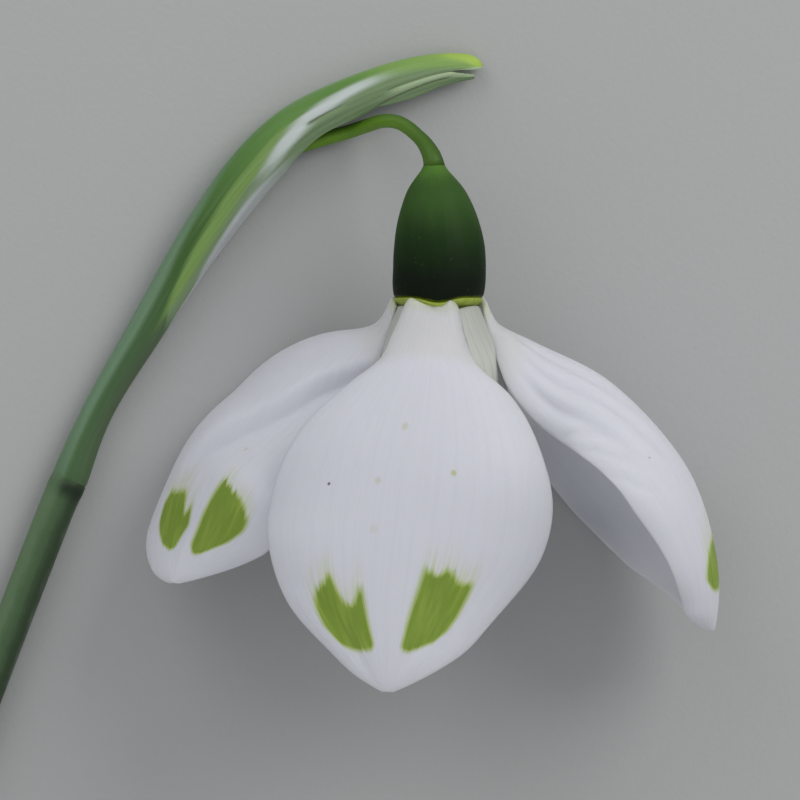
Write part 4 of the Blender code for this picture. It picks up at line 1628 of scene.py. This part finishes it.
def right_tepal(setting: Setting) -> OuterTepal:
    """Describe the tepal that spreads to the right.

    Args:
        setting: where the flower sits.

    Returns:
        The tepal, ready to build.
    """
    shape = TepalShape(
        MID,
        ((2.95, -0.85, -0.85), (4.0, -1.95, -1.6), (6.55, -3.2, -2.05), (11.31, -5.74, -2.4),
         (16.11, -11.22, -2.7), (18.2, -17.3, -2.8), (18.4, -22.15, -3.0)),
        FACE, (100.0, 95.0, 91.0, 99.0, 104.0, 99.0),
        WIDTH,
        (1.5, 3.5, 6.25, 7.45, 8.75, 10.3, 10.7, 8.55, 6.35, 4.5, 1.1),
        (1.5, 2.2, 4.2, 7.0, 9.15, 10.6, 10.1, 7.75, 5.3, 3.2, 0.7),
        CUP, (0.75, 0.95, 1.46, 1.3, 1.12, 1.0),
    )
    marks = Marks(
        upper=((0.0, 0.96), (0.16, 0.96), (0.185, 0.855), (0.21, 0.81), (0.25, 0.785), (0.29, 0.765),
               (0.33, 0.755), (0.37, 0.74), (0.40, 0.78), (0.43, 0.96), (0.55, 0.96), (0.58, 0.77),
               (0.61, 0.71), (0.66, 0.74), (0.70, 0.71), (0.75, 0.76), (0.79, 0.78), (0.82, 0.96),
               (1.0, 0.96)),
        lower=((0.0, 0.72), (0.13, 0.76), (0.17, 0.84), (0.25, 0.88), (0.36, 0.885), (0.41, 0.86),
               (0.45, 0.78), (0.54, 0.78), (0.58, 0.86), (0.66, 0.885), (0.74, 0.87), (0.79, 0.82),
               (0.84, 0.72), (1.0, 0.7)),
    )
    specks = (Speck(0.18, 0.547, 0.11, DARK_FLECK, 0.4),)
    furrows = (
        Furrow(((0.16, -0.7), (0.3, -0.78), (0.45, -0.72), (0.6, -0.66)), 0.07, 0.05, 0.34),
        Furrow(((0.14, -0.45), (0.3, -0.56), (0.42, -0.5), (0.62, -0.46)), 0.06, 0.05, 0.28),
        Furrow(((0.12, -0.3), (0.3, -0.33), (0.5, -0.36)), 0.06, 0.06, 0.2),
        Furrow(((0.25, -0.95), (0.5, -0.9), (0.9, -0.9)), 0.1, 0.1, -0.16),
        Furrow(((0.34, -1.0), (0.4, -0.86), (0.47, -0.74)), 0.06, 0.05, 0.3),
        Furrow(((0.42, -1.0), (0.48, -0.86), (0.56, -0.72)), 0.05, 0.05, 0.3),
        Furrow(((0.5, -1.0), (0.56, -0.88), (0.64, -0.76)), 0.05, 0.05, 0.22),
    )
    lift, tuck = ((-1.0, 0.8), (0.0, 0.98), (1.0, 0.8)), ((-1.0, 0.1), (1.0, 0.1))
    return OuterTepal(setting, TepalPlace.RIGHT, shape, marks, specks, furrows,
                      foot_lift=lift, foot_tuck=tuck, wave=0.2)


@dataclass
class InnerTepal:
    """One of the three short inner petals that stand in a tube round the stamens."""

    setting: Setting
    letter: str
    azimuth: float  # degrees
    material: bpy.types.Material
    stations: tuple[float, ...] = (0.0, 0.12, 0.31, 0.54, 0.77, 1.0)
    midline: Profile = ((2.5, -0.5), (3.3, -2.2), (4.25, -4.4), (4.5, -7.0), (4.3, -9.6), (4.2, -12.0))
    widths: tuple[float, ...] = (2.3, 2.9, 3.3, 3.5, 3.75, 2.6)
    cups: tuple[float, ...] = (0.85, 0.8, 0.75, 0.8, 0.8, 0.6)
    notch: float = 0.9
    notch_width: float = 0.28
    ribs: int = 5
    rib_height: float = 0.02
    flare: float = 0.25
    thickness: float = 0.34
    margin: float = 0.18
    rows: int = 45
    columns: int = 33

    def build(self) -> bpy.types.Object:
        """Build and dress the tepal.

        Returns:
            The piece, seated.
        """
        a = math.radians(self.azimuth)
        shape = TepalShape(
            self.stations, tuple((r * math.sin(a), y, r * math.cos(a)) for r, y in self.midline),
            (0.0, 0.5, 1.0), (self.azimuth,) * 3, self.stations, self.widths, self.widths,
            self.stations, self.cups,
        )
        u, v = np.linspace(-1, 1, self.columns), np.linspace(0, 1, self.rows)
        surface, normal = shape.surface(u, v)
        uu, vv = np.meshgrid(u, v)
        surface[..., 1] += self.notch * bell(uu, 0.0, self.notch_width) * vv**4
        height = self.rib_height * np.cos(2 * np.pi * self.ribs * uu) * ease(vv, 0.1, 0.3)
        flare = self.flare * vv**6 * (1 - bell(uu, 0.0, 0.5))
        surface = surface + (height + flare)[..., None] * normal
        thickness = self.thickness + (self.margin - self.thickness) * np.maximum(np.abs(uu) ** 6, vv**12)
        skin = np.stack([(uu + 1) / 2, vv], axis=-1)
        name = f"inner_petal_{self.letter}"
        piece = leaf(name, self.setting.place(surface), skin, thickness, self.material)
        return seat(piece, f"inner_tepal_{self.letter}")


# ---------------------------------------------------------------- stamens and style


@dataclass
class Stamens:
    """Six pointed anthers on short filaments, closing in round the style."""

    setting: Setting
    filament_finish: PlainFinish = PlainFinish((0.72, 0.74, 0.62), (0.60, 0.66, 0.46), (0.70, 0.70, 0.50))
    anther_finish: PlainFinish = PlainFinish((0.72, 0.36, 0.045), (0.58, 0.25, 0.03), (0.78, 0.50, 0.12), 0.6)
    count: int = 6
    ring: float = 1.3
    filament_radius: float = 0.18
    filament: tuple[float, float] = (-1.0, -3.25)
    anther_top: float = -3.2
    anther_length: float = 5.0
    anther: Profile = ((0.0, 0.0), (0.0, 0.22), (0.05, 0.34), (0.12, 0.42), (0.45, 0.46), (0.75, 0.34),
                       (0.94, 0.14), (0.985, 0.07), (1.0, 0.0))
    lean: float = 0.45
    groove: float = 0.16
    style_top: float = -1.0
    style_length: float = 8.3
    style: Profile = ((0.0, 0.0), (0.0, 0.22), (0.3, 0.26), (0.75, 0.24), (0.94, 0.2), (0.985, 0.14),
                      (1.0, 0.0))

    def grooved(self, co: Vector) -> Vector:
        """Press four grooves along an anther between its pollen sacs.

        Args:
            co: a point of an anther, in millimetres.

        Returns:
            Where it goes.
        """
        turn = math.atan2(co.x, co.z)
        share = 1 - self.groove * (0.5 + 0.5 * math.cos(4 * turn)) ** 3
        return Vector((co.x * share, co.y, co.z * share))

    def build(self) -> list[bpy.types.Object]:
        """Build and dress the filaments, the anthers and the style.

        Returns:
            The pieces, seated.
        """
        pale = self.filament_finish.material("filament_skin")
        orange = self.anther_finish.material("anther_skin")
        top, bottom = self.filament
        r = self.filament_radius
        rod = np.array([(top, 0.0), (top, r), ((top + bottom) / 2, r * 0.9), (bottom, r), (bottom, 0.0)])
        sac = self.rounded([(-share * self.anther_length, radius) for share, radius in self.anther], 26)
        inward = math.atan2(self.lean * self.ring, self.anther_length)
        pieces = []
        for k in range(self.count):
            out = Matrix.Rotation(2 * math.pi * (k + 0.5) / self.count, 4, "Y")
            out = out @ Matrix.Translation((0.0, 0.0, self.ring))
            thread = turned(f"stamen_filament_{k + 1}", self.setting, rod, 16, pale, place=out)
            pieces.append(seat(thread, f"filament_{k + 1}"))
            lean = Matrix.Translation((0.0, self.anther_top, 0.0)) @ Matrix.Rotation(inward, 4, "X")
            bag = turned(f"stamen_anther_{k + 1}", self.setting, sac, 32, orange, adjust=self.grooved,
                         place=out @ lean)
            pieces.append(seat(bag, f"anther_{k + 1}"))
        length = self.style_length
        column = self.rounded([(self.style_top - share * length, radius) for share, radius in self.style], 30)
        style = turned("style_column", self.setting, column, 24, pale)
        pieces.append(seat(style, "style"))
        return pieces

    @staticmethod
    def rounded(points: list[tuple[float, float]], count: int) -> np.ndarray:
        """Read a smooth profile through points, with its ends on the axis.

        Args:
            points: rows of a height and a radius.
            count: how many rows to read.

        Returns:
            The rows of the smooth profile.
        """
        points = np.array(points)
        profile = through(along(points), points, np.linspace(0, 1, count))
        profile[:, 1] = np.clip(profile[:, 1], 0, None)
        profile[0], profile[-1] = points[0], points[-1]
        return profile


# ---------------------------------------------------------------- floor, lights and camera


@dataclass(frozen=True)
class SurfaceFinish:
    """Plain pale matt card with a very faint grain."""

    tone: Colour = (0.50, 0.505, 0.50)
    darker: Colour = (0.47, 0.475, 0.47)
    roughness: float = 0.85

    def material(self, name: str) -> bpy.types.Material:
        """Make the material.

        Args:
            name: the material's name.

        Returns:
            The material.
        """
        w = Wiring(name)
        point = w.body()
        cloud = w.noise(point, 9.0, 3.0)
        grain = w.noise(point, 2600.0, 2.0)
        w.feed(base_color=w.blend(w.plus(w.times(cloud, 0.6), w.times(grain, 0.4)), self.tone, self.darker),
               normal=w.relief(grain, 0.00002))
        w.fix(roughness=self.roughness, specular_ior_level=0.2)
        return w.material


@dataclass(frozen=True)
class Lamp:
    """A round soft lamp that shines at the middle of the floor."""

    name: str
    place: tuple[float, float, float]  # metres
    size: float
    power: float
    colour: Colour

    def hang(self) -> None:
        """Put the lamp in its place."""
        lamp = bpy.data.lights.new(self.name, "AREA")
        lamp.shape = "DISK"
        lamp.size = self.size
        lamp.energy = self.power
        lamp.color = self.colour
        item = bpy.data.objects.new(self.name, lamp)
        item.location = self.place
        item.rotation_euler = Vector(self.place).to_track_quat("Z", "Y").to_euler()
        bpy.context.scene.collection.objects.link(item)


@dataclass
class Studio:
    """A plain floor, soft light from above and a camera that looks straight down."""

    setting: Setting
    floor_finish: SurfaceFinish = SurfaceFinish()
    floor_side: float = 1.6
    centre: tuple[float, float] = (-2.533, -6.8)  # millimetres, what the camera looks at
    view_width: float = 53.33  # millimetres, seen at the height of the flower's axis
    lens: float = 1600.0
    sensor: float = 36.0
    sky: Colour = (0.95, 0.97, 1.0)
    sky_strength: float = 0.5
    lamps: tuple[Lamp, ...] = (
        Lamp("key", (0.36, 0.30, 0.36), 0.35, 1.15, (1.0, 0.985, 0.96)),
        Lamp("fill", (-0.26, 0.42, 0.32), 0.40, 0.5, (1.0, 1.0, 1.0)),
    )

    def build(self) -> None:
        """Set up the floor, the lights and the camera."""
        self.lay_floor()
        self.light()
        self.aim()

    def lay_floor(self) -> None:
        """Lay the floor just under the flower."""
        bm = bmesh.new()
        bmesh.ops.create_grid(bm, x_segments=1, y_segments=1, size=self.floor_side / 2)
        floor = to_object("floor", bm, self.floor_finish.material("pale_card"))

    def light(self) -> None:
        """Hang the lamps and set the soft light from all round."""
        for lamp in self.lamps:
            lamp.hang()
        world = bpy.data.worlds.new("soft_sky")
        world.use_nodes = True
        background = world.node_tree.nodes["Background"]
        background.inputs["Color"].default_value = (*self.sky, 1.0)
        background.inputs["Strength"].default_value = self.sky_strength
        bpy.context.scene.world = world

    def aim(self) -> None:
        """Set the camera straight above the flower, with +Y at the top of its view."""
        x, y, z = self.setting.place(np.array([*self.centre, 0.0]))
        lens = bpy.data.cameras.new("camera")
        lens.lens = self.lens
        lens.sensor_width = self.sensor
        distance = self.view_width * MM * self.lens / self.sensor
        lens.clip_start = distance / 10
        lens.clip_end = distance * 10
        camera = bpy.data.objects.new("camera", lens)
        camera.location = (x, y, z + distance)
        bpy.context.scene.collection.objects.link(camera)
        bpy.context.scene.camera = camera
        bpy.context.scene.view_settings.view_transform = "Standard"


# ---------------------------------------------------------------- the whole


def main() -> None:
    """Build the flower, piece by piece, and set it up to be looked at."""
    logging.basicConfig(level=logging.INFO, format="%(name)s: %(message)s")
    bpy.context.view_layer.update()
    setting = Setting.of_receptacle()
    Studio(setting).build()
    Scape(setting).build()
    Spathe(setting).build()
    Pedicel(setting).build()
    Ovary(setting).build()
    Receptacle(setting).build()
    for describe in (front_tepal, left_tepal, right_tepal):
        describe(setting).build()
    inner = InnerTepalFinish().material("inner_petal_skin")
    for letter, azimuth in (("a", 68.0), ("b", 184.0), ("c", 297.0)):
        InnerTepal(setting, letter, azimuth, inner).build()
    Stamens(setting).build()
    log.info("finished")


if __name__ == "__main__":
    main()
